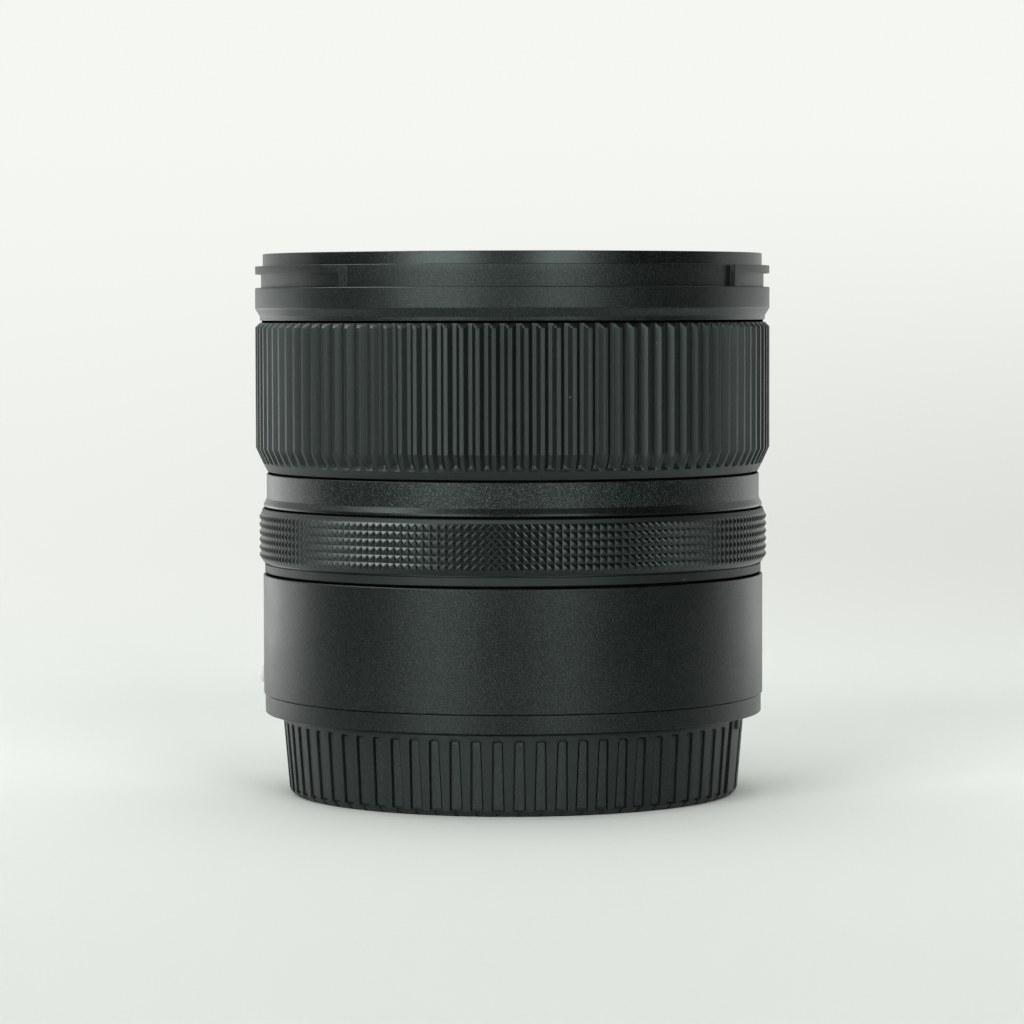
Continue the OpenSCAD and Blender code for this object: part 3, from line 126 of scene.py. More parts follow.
class LensFinish(bpy.types.PropertyGroup):
    """Colours of the finishes."""
    front: tint("Front ring", "Satin black of the front ring", 0.0017, 0.0021, 0.002)
    grip: tint("Grips", "Black of the ribbed zoom ring", 0.0016, 0.002, 0.0019)
    knurl: tint("Control ring", "Black of the knurled ring", 0.0013, 0.0016, 0.0015)
    shell: tint("Barrel", "Grained black of the barrel and the middle band", 0.0026, 0.0032, 0.0029)
    cap: tint("Cap", "Black of the rear cap", 0.003, 0.0038, 0.0035)
    inside: tint("Inside", "Dull black of the pieces inside", 0.006, 0.006, 0.0065)
    dot: tint("Index dot", "White of the index dot", 0.6, 0.62, 0.6)
    glass: tint("Glass", "Faint tint of the glass", 0.97, 0.99, 0.98)
    backdrop: tint("Backdrop", "Pale backdrop behind the lens", 0.905, 0.925, 0.885)
    floor: tint("Floor", "Pale floor under the lens", 0.76, 0.788, 0.755)


def start_clean():
    """Leaves edit mode and deselects everything, so that operators act on the new piece alone."""
    if bpy.context.object and bpy.context.object.mode != "OBJECT":
        bpy.ops.object.mode_set(mode="OBJECT")
    bpy.ops.object.select_all(action="DESELECT")


def new_piece(name):
    """Names the object just added, applies its transform, and selects all of it for editing."""
    piece = bpy.context.object
    piece.name = piece.data.name = name
    bpy.ops.object.transform_apply(location=True, rotation=True, scale=True)
    bpy.ops.object.mode_set(mode="EDIT")
    bpy.ops.mesh.select_all(action="SELECT")
    return piece


def azimuth_of(point):
    """Degrees about the lens axis, from the viewer's side towards +X."""
    return math.degrees(math.atan2(point.x, -point.y))


def off_by(azimuth, other):
    """Signed difference of two azimuths in degrees."""
    return (azimuth - other + 180) % 360 - 180


def pick(piece, kind, test):
    """Selects vertices, edges or faces whose middle passes a test on azimuth, radius and height."""
    bpy.ops.mesh.select_all(action="DESELECT")
    bpy.ops.mesh.select_mode(type=kind)
    mesh = bmesh.from_edit_mesh(piece.data)
    found = 0
    for item in {"VERT": mesh.verts, "EDGE": mesh.edges, "FACE": mesh.faces}[kind]:
        corners = [item] if kind == "VERT" else item.verts
        middle = sum((c.co for c in corners), corners[0].co * 0) / len(corners)
        if test(azimuth_of(middle), math.hypot(middle.x, middle.y) / MM, middle.z / MM):
            item.select_set(True)
            found += 1
    mesh.select_flush_mode()
    bmesh.update_edit_mesh(piece.data)
    if not found:
        raise RuntimeError(f"nothing to select on {piece.name}")


def rounded(corners):
    """Profile points in which a corner (radius, height, rounding) is eased over its rounding."""
    points, steps = [], 3
    for index, (radius, height, ease) in enumerate(corners):
        if not ease:
            points.append((radius, height))
            continue
        ends = []
        for other in (corners[index - 1], corners[(index + 1) % len(corners)]):
            out, up = other[0] - radius, other[1] - height
            run = math.hypot(out, up)
            share = min(ease, 0.45 * run) / run
            ends.append((radius + out * share, height + up * share))
        for step in range(steps + 1):
            t = step / steps
            a, b, c = (1 - t) ** 2, 2 * t * (1 - t), t * t
            points.append((a * ends[0][0] + b * radius + c * ends[1][0],
                           a * ends[0][1] + b * height + c * ends[1][1]))
    return points


def scale_about_axis(factor):
    """Scales the selection about the lens axis."""
    bpy.ops.transform.resize(value=(factor, factor, 1), center_override=(0, 0, 0))


def turn_about_axis(degrees):
    """Turns the selection about the lens axis, from the viewer's side towards +X."""
    bpy.ops.transform.rotate(
        value=-math.radians(degrees), orient_axis="Z", center_override=(0, 0, 0))


def pull_edges(across, along, up):
    """Extrudes the selected edges and moves the new ones."""
    bpy.ops.mesh.extrude_edges_move(TRANSFORM_OT_translate={"value": (across, along, up)})


def turned(name, points, segments=SEGMENTS, turn=0.0, closed=True):
    """Extrudes a circle from point to point of a profile, and leaves the new piece in edit mode."""
    start_clean()
    radius, height = points[0]
    bpy.ops.mesh.primitive_circle_add(
        vertices=segments, radius=radius * MM, location=(0, 0, height * MM))
    piece = new_piece(name)
    if turn:
        turn_about_axis(turn)
    for new_radius, new_height in points[1:] + (points[:1] if closed else []):
        pull_edges(0, 0, (new_height - height) * MM)
        if abs(new_radius - radius) > MERGE:
            scale_about_axis(new_radius / radius)
        radius, height = new_radius, new_height
    return piece


def push_faces(factor):
    """Extrudes the selected faces and scales them about the lens axis."""
    bpy.ops.mesh.extrude_region_move()
    scale_about_axis(factor)


def close_ends(piece, points):
    """Fills the first and the last ring of an open turned piece."""
    for end in (points[0], points[-1]):
        pick(piece, "VERT", lambda a, r, z: abs(r - end[0]) < 1e-3 and abs(z - end[1]) < 1e-3)
        bpy.ops.mesh.edge_face_add()


def soften(piece, width, sharpness, above=-1.0):
    """Rounds the edges of a piece that are sharper than some degrees and lie above a height."""
    bpy.ops.mesh.select_mode(type="EDGE")
    bpy.ops.mesh.select_all(action="DESELECT")
    bpy.ops.mesh.edges_select_sharp(sharpness=math.radians(sharpness))
    mesh = bmesh.from_edit_mesh(piece.data)
    for edge in mesh.edges:
        if edge.select and sum(corner.co.z for corner in edge.verts) / 2 < above * MM:
            edge.select_set(False)
    mesh.select_flush_mode()
    bmesh.update_edit_mesh(piece.data)
    bpy.ops.mesh.bevel(offset=width * MM, segments=2, affect="EDGES", clamp_overlap=True)


def finish_piece(piece, body, material, nodes, smooth=35):
    """Closes the mesh, turns its faces out, shades it, and ties it to its body and solids.

    The material may be the name of a moulded finish.
    """
    bpy.ops.mesh.select_mode(type="VERT")
    bpy.ops.mesh.select_all(action="SELECT")
    bpy.ops.mesh.remove_doubles(threshold=MERGE)
    bpy.ops.mesh.normals_make_consistent(inside=False)
    bpy.ops.object.mode_set(mode="OBJECT")
    bpy.ops.object.shade_smooth_by_angle(angle=math.radians(smooth))
    even = piece.modifiers.new("Even shading", "WEIGHTED_NORMAL")
    even.keep_sharp = True
    bpy.ops.object.modifier_apply(modifier=even.name)
    piece.data.materials.clear()
    piece.data.materials.append(moulded_finish(material) if isinstance(material, str) else material)
    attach(piece, body)
    if nodes:
        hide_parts(*nodes)


def new_group(name, inputs, outputs):
    """A shader node group with named value sockets, made once."""
    group = bpy.data.node_groups.new(name, "ShaderNodeTree")
    for label, default in inputs:
        socket = group.interface.new_socket(label, in_out="INPUT", socket_type="NodeSocketFloat")
        socket.default_value = default
    for label in outputs:
        group.interface.new_socket(label, in_out="OUTPUT", socket_type="NodeSocketFloat")
    return group, group.nodes.new("NodeGroupInput"), group.nodes.new("NodeGroupOutput")


def feed(tree, node, values):
    """Sets inputs of a node to numbers or colours, or links them to the sockets given."""
    for key, value in values.items():
        if isinstance(value, bpy.types.NodeSocket):
            tree.links.new(value, node.inputs[key])
        else:
            node.inputs[key].default_value = value


def math_node(tree, operation, *values):
    """A math node fed by sockets or numbers."""
    node = tree.nodes.new("ShaderNodeMath")
    node.operation = operation
    feed(tree, node, dict(enumerate(values)))
    return node.outputs[0]


def noise_node(tree, place, scale, detail=2.0):
    """A noise texture on object coordinates."""
    node = tree.nodes.new("ShaderNodeTexNoise")
    feed(tree, node, {"Vector": place, "Detail": detail, "Scale": scale})
    return node.outputs["Fac"]


def cell_node(tree, place, scale):
    """A cell texture on object coordinates."""
    node = tree.nodes.new("ShaderNodeTexVoronoi")
    feed(tree, node, {"Vector": place, "Scale": scale})
    return node


def grain_group():
    """Moulded grain: fine bumps, a slow drift, and a sparse mask for painted glints."""
    name = "Moulded grain"
    if name in bpy.data.node_groups:
        return bpy.data.node_groups[name]
    group, entry, leave = new_group(
        name, [("Scale", 5000), ("Drift scale", 120)], ["Height", "Drift", "Sparkle"])
    place = group.nodes.new("ShaderNodeTexCoord").outputs["Object"]
    fine = noise_node(group, place, entry.outputs["Scale"], 3)
    cells = cell_node(group, place, entry.outputs["Scale"])
    pebble = math_node(group, "SUBTRACT", 1, cells.outputs["Distance"])
    height = math_node(group, "MULTIPLY_ADD", fine, 0.6, math_node(group, "MULTIPLY", pebble, 0.4))
    drift = noise_node(group, place, entry.outputs["Drift scale"], 4)
    # Painted glints: where fine noise and cells peak, a mask for grains painted pale like glints of
    # light
    lit = math_node(group, "GREATER_THAN", math_node(group, "MULTIPLY", fine, pebble), 0.6)
    feed(group, leave, {"Height": height, "Drift": drift, "Sparkle": lit})
    return group


def dust_group():
    """Sparse specks of pale dust."""
    name = "Dust specks"
    if name in bpy.data.node_groups:
        return bpy.data.node_groups[name]
    group, entry, leave = new_group(
        name, [("Scale", 260), ("Size", 0.034), ("Rarity", 0.93)], ["Mask"])
    place = group.nodes.new("ShaderNodeTexCoord").outputs["Object"]
    cells = cell_node(group, place, entry.outputs["Scale"])
    near = math_node(group, "LESS_THAN", cells.outputs["Distance"], entry.outputs["Size"])
    part = group.nodes.new("ShaderNodeSeparateColor")
    group.links.new(cells.outputs["Color"], part.inputs["Color"])
    rare = math_node(group, "GREATER_THAN", part.outputs["Red"], entry.outputs["Rarity"])
    group.links.new(math_node(group, "MULTIPLY", near, rare), leave.inputs["Mask"])
    return group


def blank_material(name):
    """A material with only a Principled shader and its output."""
    material = bpy.data.materials.new(name)
    material.use_nodes = True
    tree = material.node_tree
    tree.nodes.clear()
    shader = tree.nodes.new("ShaderNodeBsdfPrincipled")
    leave = tree.nodes.new("ShaderNodeOutputMaterial")
    tree.links.new(shader.outputs["BSDF"], leave.inputs["Surface"])
    return material, tree, shader


def blend_colours(tree, mask, first, second):
    """A colour mixed by a mask, each side a socket or a fixed colour."""
    node = tree.nodes.new("ShaderNodeMix")
    node.data_type = "RGBA"
    node.clamp_factor = False
    first, second = ((*side, 1) if isinstance(side, tuple) else side for side in (first, second))
    feed(tree, node, {"Factor": mask, 6: first, 7: second})
    return node.outputs[2]


def mix_shaders(tree, mask, first, second):
    """A node that shows one shader where a mask is 0 and another where it is 1."""
    node = tree.nodes.new("ShaderNodeMixShader")
    feed(tree, node, {0: mask, 1: first.outputs[0], 2: second.outputs[0]})
    return node


def group_node(tree, group, **values):
    """A node that holds a shared group, with some of its values set."""
    node = tree.nodes.new("ShaderNodeGroup")
    node.node_tree = group
    feed(tree, node, values)
    return node


def finish_colours():
    """The colours as the user has set them."""
    return bpy.context.scene.lens_finish


# Each moulded finish: its colour or the setting that holds it, roughness, scale of the grain,
# strength and depth of its bumps, rarity of dust, contrast of the grain and of its painted glints,
# and level of reflection
MOULDED = {
    "Satin black": ("front", 0.41, 5600, 0.3, 0.012, 0.93, 30, 0.38),
    "Grip black": ("grip", 0.47, 5200, 0.2, 0.012, 0.93, 7, 0.5),
    "Knurl black": ("knurl", 0.29, 7000, 0.1, 0.01, 0.93, 3, 0.42),
    "Grained black": ("shell", 0.385, 5200, 0.5, 0.03, 0.93, 15, 0.28),
    "Sparkling black": ("shell", 0.385, 5400, 0.6, 0.03, 0.93, 46, 0.27),
    "Mount black": ("cap", 0.5, 5000, 0.2, 0.015, 0.93, 1, 0.42),
    "Cap black": ("cap", 0.52, 5000, 0.2, 0.015, 0.93, 4, 0.42),
    "Inside black": ("inside", 0.7, 4000, 0.3, 0.02, 0.99, 1, 0.42),
    "Index white": ("dot", 0.4, 6000, 0.05, 0.005, 0.999, 0.2, 0.42),
    # Painted shade: a dead black that does not reflect, for the rings that darken the seams
    "Felt black": ((0.0014, 0.0017, 0.0016), 0.9, 3000, 0.5, 0.05, 0.999, 2, 0),
    "Dull alloy": ((0.02, 0.02, 0.021), 0.45, 3000, 0.1, 0.01, 0.999, 1, 0.42),
    "Blade black": ((0.008, 0.008, 0.009), 0.5, 3000, 0.1, 0.005, 0.999, 1, 0.42),
    "Board green": ((0.01, 0.07, 0.03), 0.4, 1500, 0.1, 0.01, 0.999, 1, 0.42),
    "Chip black": ((0.012, 0.012, 0.013), 0.5, 5000, 0.2, 0.01, 0.999, 1, 0.42),
}


def moulded_finish(name):
    """A moulded or painted finish: speckled grain, painted glints, drift in tone and gloss, sparse
    dust.
    """
    if name in bpy.data.materials:
        return bpy.data.materials[name]
    colour, roughness, grain, bump, depth, dust, speckle, shine = MOULDED[name]
    if isinstance(colour, str):
        colour = tuple(getattr(finish_colours(), colour))
    painted_glint_colour, dust_colour = (0.1, 0.13, 0.125), (0.3, 0.31, 0.3)
    material, tree, shader = blank_material(name)
    moulded = group_node(tree, grain_group(), Scale=grain)
    specks = group_node(tree, dust_group(), Rarity=dust)
    height, drift, painted_glint = moulded.outputs
    grains = math_node(tree, "MULTIPLY_ADD", height, 2 * speckle, 0.7 - speckle)
    tone = math_node(tree, "MULTIPLY_ADD", drift, 0.6, grains)
    toned = blend_colours(tree, math_node(tree, "MAXIMUM", tone, 0), (0, 0, 0), colour)
    # Painted glints: sparse grains painted pale, standing in for glints of light on the grain
    lit = math_node(tree, "MULTIPLY", painted_glint, 0.02 * speckle)
    toned = blend_colours(tree, lit, toned, painted_glint_colour)
    dusty = math_node(tree, "MULTIPLY", specks.outputs["Mask"], 0.4)
    lumps = tree.nodes.new("ShaderNodeBump")
    feed(tree, lumps, {"Strength": bump, "Distance": depth * MM, "Height": height})
    feed(tree, shader, {
        "Base Color": blend_colours(tree, dusty, toned, dust_colour),
        "Roughness": math_node(tree, "MULTIPLY_ADD", drift, 0.12, roughness - 0.06),
        "Specular IOR Level": shine, "Specular Tint": (0.82, 1, 0.945, 1),
        "Normal": lumps.outputs["Normal"]})
    return material


def place_in(tree):
    """Height along the lens axis, distance from it, and place across and along, in a shader."""
    place = tree.nodes.new("ShaderNodeSeparateXYZ")
    tree.links.new(tree.nodes.new("ShaderNodeTexCoord").outputs["Object"], place.inputs[0])
    across, along, height = place.outputs
    square = math_node(
        tree, "MULTIPLY_ADD", across, across, math_node(tree, "MULTIPLY", along, along))
    return height, math_node(tree, "SQRT", square), across, along


def zoned_finish(name, zone, paler, rougher):
    """A moulded finish with its colour scaled and its roughness shifted where a mask is 1."""
    if name in bpy.data.materials:
        return bpy.data.materials[name]
    material = moulded_finish(name)
    tree = material.node_tree
    shader = next(node for node in tree.nodes if node.type == "BSDF_PRINCIPLED")
    mask = zone(tree, *place_in(tree)[:2])
    if paler != 1:
        before = shader.inputs["Base Color"].links[0].from_socket
        change = math_node(tree, "MULTIPLY_ADD", mask, paler - 1, 1)
        feed(tree, shader, {"Base Color": blend_colours(tree, change, (0, 0, 0), before)})
    before = shader.inputs["Roughness"].links[0].from_socket
    feed(tree, shader, {"Roughness": math_node(tree, "MULTIPLY_ADD", mask, rougher, before)})
    return material


def metal_finish(name, colour, roughness):
    """Machined metal with fine turning marks."""
    if name in bpy.data.materials:
        return bpy.data.materials[name]
    material, tree, shader = blank_material(name)
    moulded = group_node(tree, grain_group(), Scale=2500)
    dark = tuple(channel * 0.85 for channel in colour)
    height, drift, _ = moulded.outputs
    feed(tree, shader, {
        "Metallic": 1, "Base Color": blend_colours(tree, drift, dark, colour),
        "Roughness": math_node(tree, "MULTIPLY_ADD", height, 0.2, roughness - 0.1)})
    return material


def bright_steel():
    """Steel of the screws, rods and springs."""
    return metal_finish("Bright steel", (0.6, 0.6, 0.61), 0.3)


def glass_finish(name, film):
    """Coated optical glass: clear, with a thin film in nanometres that colours its reflections."""
    if name in bpy.data.materials:
        return bpy.data.materials[name]
    material, tree, shader = blank_material(name)
    drift = noise_node(tree, tree.nodes.new("ShaderNodeTexCoord").outputs["Object"], 60)
    colour = tuple(finish_colours().glass)
    paler = tuple(0.96 * channel for channel in colour)
    feed(tree, shader, {
        "Base Color": blend_colours(tree, drift, paler, colour), "Roughness": 0, "IOR": 1.6,
        "Transmission Weight": 1, "Thin Film Thickness": film, "Thin Film IOR": 1.33})
    return material


def front_black():
    """Satin black, smoother on the rim above the hood lugs."""
    step = span("front_ring")[1] * MM - bpy.context.scene.lens_sizes.rim_height
    return zoned_finish("Satin black", lambda tree, height, away: (
        math_node(tree, "GREATER_THAN", height, step)), 1, -0.085)


def knurl_black():
    """Smooth black of the pyramids, duller on the lip below them and the shoulder above."""
    low, high = span("control_ring")
    return zoned_finish("Knurl black", lambda tree, height, away: math_node(
        tree, "ADD", math_node(tree, "LESS_THAN", height, (low + 1.3) * MM),
        math_node(tree, "GREATER_THAN", height, (high - 0.4) * MM)), 1, 0.26)


def band_black(flare):
    """Sparkling black, smoother on the flare at its low end, where painted shade darkens its
    colour.
    """
    return zoned_finish("Sparkling black", lambda tree, height, away: (
        math_node(tree, "LESS_THAN", height, flare * MM)), 0.35, -0.08)


def cap_black(skin_low, skin_rise, depth):
    """Cap plastic whose slot floors, found by their depth under the tapered skin, are paler."""
    return zoned_finish("Cap black", lambda tree, height, away: math_node(
        tree, "LESS_THAN", away, math_node(
            tree, "MULTIPLY_ADD", height, skin_rise, skin_low * MM - depth / 2)), 2.3, 0.0)


class LENS_OT_front_ring(bpy.types.Operator):
    """Model the front ring with its rim, hood lugs, wide band and filter thread"""
    bl_idname = "lens.front_ring"
    bl_label = "Front ring"

    def execute(self, context):
        sizes = context.scene.lens_sizes
        low, high = span("front_ring")
        band = reach("front_ring")
        lug_top = high - sizes.rim_height / MM
        lug_low = lug_top - sizes.lug_thickness / MM
        band_top = lug_low - sizes.lug_groove / MM
        bore = sizes.filter_radius / MM
        bore_low = high - sizes.filter_depth / MM
        neck, rim, skirt, seat, ledge = 35.17, 34.92, 35.35, 33.24, 31.8
        columns = 720
        piece = turned("front_ring_body", rounded([
            (seat, low, 0), (skirt, low, 0.08), (skirt, low + 0.6, 0.15), (band, low + 1.62, 0.2),
            (band, band_top, 0.2), (neck, band_top, 0), (neck, lug_low, 0), (neck, lug_top, 0.06),
            (rim, lug_top, 0.04), (rim, high, 0.12), (bore + 0.4, high, 0.12),
            (bore, high - 0.4, 0.05), (bore, bore_low, 0), (bore - 0.9, bore_low, 0.05),
            (bore - 0.9, bore_low - 0.6, 0), (ledge, bore_low - 0.6, 0), (ledge, bore_low - 1.4, 0),
            (seat, bore_low - 1.4, 0)]), columns)
        middle, half = math.degrees(sizes.lug_middle), math.degrees(sizes.lug_arc) / 2
        # Degrees that a lug's stop is wide and that its ends taper over, and how far the ends sink
        stop, run_out, sink = 1.9, 6.5, 0.72

        def on_lug(azimuth, radius, height):
            if abs(radius - neck) > 0.03:
                return False
            away = min(abs(off_by(azimuth, middle + turn)) for turn in (0, 180))
            if lug_low < height < lug_top:
                return away < half
            return half - stop < away < half and band_top < height < lug_low

        pick(piece, "FACE", on_lug)
        push_faces((band - 0.02) / neck)
        pick(piece, "FACE", lambda a, r, z: r > neck + 0.3 and band_top + 0.05 < z < lug_top + 0.1)
        bpy.ops.mesh.region_to_loop()
        bpy.ops.mesh.bevel(offset=0.07 * MM, segments=2, affect="EDGES")
        step = 360 / columns
        for column in range(int(run_out / step) + 1):
            away = half - column * step
            pick(piece, "VERT", lambda a, r, z: (
                r > neck + 0.25 and band_top + 0.05 < z < lug_top + 0.1
                and min(abs(off_by(a, middle + turn) - away) for turn in (0, 180)) < step / 2))
            scale_about_axis(1 - sink * (1 - column * step / run_out) / band)
        finish_piece(piece, "barrel", front_black(), ["front_ring"])
        self.thread(sizes.thread_pitch / MM, bore, bore_low + 0.5, high - 0.6)
        return {"FINISHED"}

    def thread(self, pitch, bore, start, end):
        """A helical filter thread on the wall of the bore."""
        start_clean()
        bpy.ops.mesh.primitive_circle_add(
            vertices=4, radius=0.4 * pitch * MM, rotation=(math.pi / 2, 0, math.pi / 2),
            location=(0, (bore + 0.02) * MM, start * MM))
        piece = new_piece("filter_thread_helix")
        bpy.ops.object.mode_set(mode="OBJECT")
        screw = piece.modifiers.new("Helix", "SCREW")
        screw.axis = "Z"
        screw.screw_offset = pitch * MM
        screw.iterations = int((end - start) / pitch)
        screw.steps = screw.render_steps = 200
        screw.use_smooth_shade = False
        bpy.ops.object.modifier_apply(modifier=screw.name)
        bpy.ops.object.mode_set(mode="EDIT")
        bpy.ops.mesh.select_mode(type="EDGE")
        bpy.ops.mesh.select_all(action="DESELECT")
        bpy.ops.mesh.select_non_manifold()
        bpy.ops.mesh.edge_face_add()
        finish_piece(piece, "barrel", front_black(), [], 25)


class LENS_OT_front_trim(bpy.types.Operator):
    """Model the stepped trim ring that leads down to the front element"""
    bl_idname = "lens.front_trim"
    bl_label = "Front trim ring"

    def execute(self, context):
        low, high = span("front_trim_ring")
        outer = reach("front_trim_ring")
        steps, inner, ledge, top = 13, 22.5, 31.2, high - 0.1
        fall = (top - low - 1.0) / steps
        tread = (ledge - inner) / steps
        funnel = []
        for step in range(steps):
            edge = ledge - step * tread
            funnel.append((edge, top - step * fall, 0))
            funnel.append((edge - tread * 0.75, top - step * fall - 0.04, 0))
        corners = [(outer, high - 0.6, 0), (outer, high, 0.08), (ledge + 0.4, high, 0.1)] + funnel
        corners += [(inner - 0.2, low + 0.9, 0.05), (inner - 0.2, low + 0.2, 0), (25.0, low, 0),
                    (31.5, high - 1.4, 0), (31.5, high - 0.6, 0)]
        piece = turned("front_trim_steps", rounded(corners), 384)
        finish_piece(piece, "barrel", "Inside black", ["front_trim_ring"], 20)
        return {"FINISHED"}


class LENS_OT_front_glass(bpy.types.Operator):
    """Model the three elements behind the front rim"""
    bl_idname = "lens.front_glass"
    bl_label = "Front elements"

    # Each element, the radii of its front and rear curves, the rear curve's reach and its film
    elements = (("front_element", 75, 26, 17.5, 360), ("second_element", 45, 22, 12, 430),
                ("third_element", 24, 0, 0, 300))

    def execute(self, context):
        rings = 18

        def sag(curve, radius):
            return curve - math.sqrt(curve ** 2 - radius ** 2)

        for node, front, rear, clear, film in self.elements:
            low, high = span(node)
            edge = reach(node)
            points = [(edge * 0.01, low), (edge * 0.5, low)]
            if rear:
                top = low + sag(rear, clear) - sag(rear, 0.1)
                radii = [clear * (k + 0.05) / (rings + 0.05) for k in range(rings)]
                points = [(radius, top - sag(rear, radius)) for radius in radii] + [(clear, low)]
            points.append((edge, low))
            for share in (k / rings for k in range(rings + 1)):
                points.append((edge * (1 - 0.99 * share), high - sag(front, edge * (1 - share))))
            piece = turned(node + "_glass", points, 192, closed=False)
            close_ends(piece, points)
            coating = glass_finish(node + " coating", film)
            finish_piece(piece, "barrel", coating, [node], 40)
        return {"FINISHED"}


class LENS_OT_zoom_grip(bpy.types.Operator):
    """Model the ribbed grip of the zoom ring"""
    bl_idname = "lens.zoom_grip"
    bl_label = "Zoom ring grip"

    def execute(self, context):
        sizes = context.scene.lens_sizes
        low, high = span("zoom_ring_grip")
        tip = reach("zoom_ring_grip")
        depth = sizes.rib_depth / MM
        foot, bore, cone, chamfer = 34.45, 33.95, 3.35, 0.65

        def cone_skin(height):
            return min(tip, foot + (height - low) * (tip - foot) / cone)

        def skin(height):
            return min(cone_skin(height), tip - chamfer + high - height)

        # Each ring's height, and how deep the flank, the floor's edge and its middle lie there
        # A groove ends on a shelf that falls outwards, eased into the flanks and the floor above it
        levels = (
            (low + 1.1, 0, 0, 0), (low + 1.34, 0.38, 0.38, 0.34), (low + 1.52, 0.5, 0.66, 0.6),
            (low + 1.62, 0.5, 0.78, 0.7), (low + 1.74, 0.5, 0.88, 0.8), (low + 1.86, 0.5, 1, 0.9),
            (low + 2.0, 0.5, 1, 1), (low + cone, 0.5, 1, 1), (high - chamfer, 0.5, 1, 1),
            (high - chamfer / 2, 0.5, 1, 1), (high, 0.5, 1, 1))
        points = [(bore, low), (foot - 0.1, low), (foot, low + 0.12)]
        points += [(skin(level[0]), level[0]) for level in levels] + [(bore, high)]
        pitch = 360 / sizes.rib_count
        middle = math.degrees(sizes.rib_azimuth)
        piece = turned("zoom_grip_ribs", points, 8 * sizes.rib_count, middle)

        def share(azimuth):
            return abs(((azimuth - middle) / pitch + 0.5) % 1 - 0.5)

        for height, *sunk in levels:
            for place, part in zip((0.25, 0.375, 0.5), sunk):
                target = min(skin(height), cone_skin(height) - depth * part)
                if skin(height) - target > MERGE:
                    pick(piece, "VERT", lambda a, r, z: (
                        abs(z - height) < 0.01 and r > foot - 0.2 and abs(share(a) - place) < 0.05))
                    scale_about_axis(target / skin(height))
        toe_low, toe_high = levels[0][0], levels[6][0]
        pick(piece, "FACE", lambda a, r, z: toe_low < z < toe_high and r > foot)
        bpy.ops.mesh.quads_convert_to_tris(quad_method="SHORTEST_DIAGONAL")
        soften(piece, 0.05, 16, toe_high + 0.05)
        finish_piece(piece, "zoom_grip", "Grip black", ["zoom_ring_grip"], 25)
        return {"FINISHED"}


class LENS_OT_return_spring(bpy.types.Operator):
    """Model the zoom ring's return spring: wire in the fixed groove, legs that follow the ring"""
    bl_idname = "lens.return_spring"
    bl_label = "Return spring"

    def execute(self, context):
        low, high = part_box("zoom_return_spring")
        # Radius of the wire, half the opening and its azimuth in degrees, room left at the legs
        wire, opening, middle, clear = 0.25, 6.0, 90.0, 0.08
        ring, height = -low.x / MM - wire, (low.z + high.z) / 2 / MM
        bends = [math.radians(30 * k) for k in range(12)]
        piece = turned("return_spring_wire", [
            (ring + wire * math.cos(bend), height + wire * math.sin(bend)) for bend in bends], 360)
        bpy.ops.mesh.select_all(action="SELECT")
        bpy.ops.mesh.remove_doubles(threshold=MERGE)
        pick(piece, "FACE", lambda a, r, z: abs(off_by(a, middle)) < opening)
        bpy.ops.mesh.delete(type="FACE")
        for side in (-1, 1):
            pick(piece, "VERT", lambda a, r, z: abs(off_by(a, middle + side * opening)) < 0.3)
            bpy.ops.mesh.edge_face_add()
        finish_piece(piece, "barrel", bright_steel(), ["zoom_return_spring"], 50)
        start_clean()
        start, lean = ring + wire + clear, math.radians(opening)
        end = (high.x / MM - wire * math.sin(lean)) / math.cos(lean)
        bpy.ops.mesh.primitive_circle_add(
            vertices=24, radius=wire * MM, fill_type="NGON", rotation=(0, math.pi / 2, 0),
            location=(start * MM, 0, height * MM))
        piece = new_piece("return_spring_legs")
        bpy.ops.mesh.extrude_region_move(
            TRANSFORM_OT_translate={"value": ((end - start - clear) * MM, 0, 0)})
        soften(piece, 0.06, 40)
        bpy.ops.mesh.select_all(action="SELECT")
        turn_about_axis(-opening)
        bpy.ops.mesh.duplicate()
        turn_about_axis(2 * opening)
        finish_piece(piece, "zoom_grip", bright_steel(), [], 50)
        return {"FINISHED"}


class LENS_OT_middle_band(bpy.types.Operator):
    """Model the fixed band between the two turning rings"""
    bl_idname = "lens.middle_band"
    bl_label = "Middle band"

    def execute(self, context):
        low, high = span("middle_band")
        low += SEAM_LIFT
        lip, wall, bore = reach("middle_band"), 34.52, 33.24
        piece = turned("middle_band_shell", rounded([
            (bore, low, 0), (lip, low, 0.05), (lip, low + 0.3, 0.12), (wall, low + 1.13, 0.05),
            (wall, high, 0.14), (bore, high, 0)]))
        finish_piece(piece, "barrel", band_black(low + 1.1), ["middle_band"])
        return {"FINISHED"}


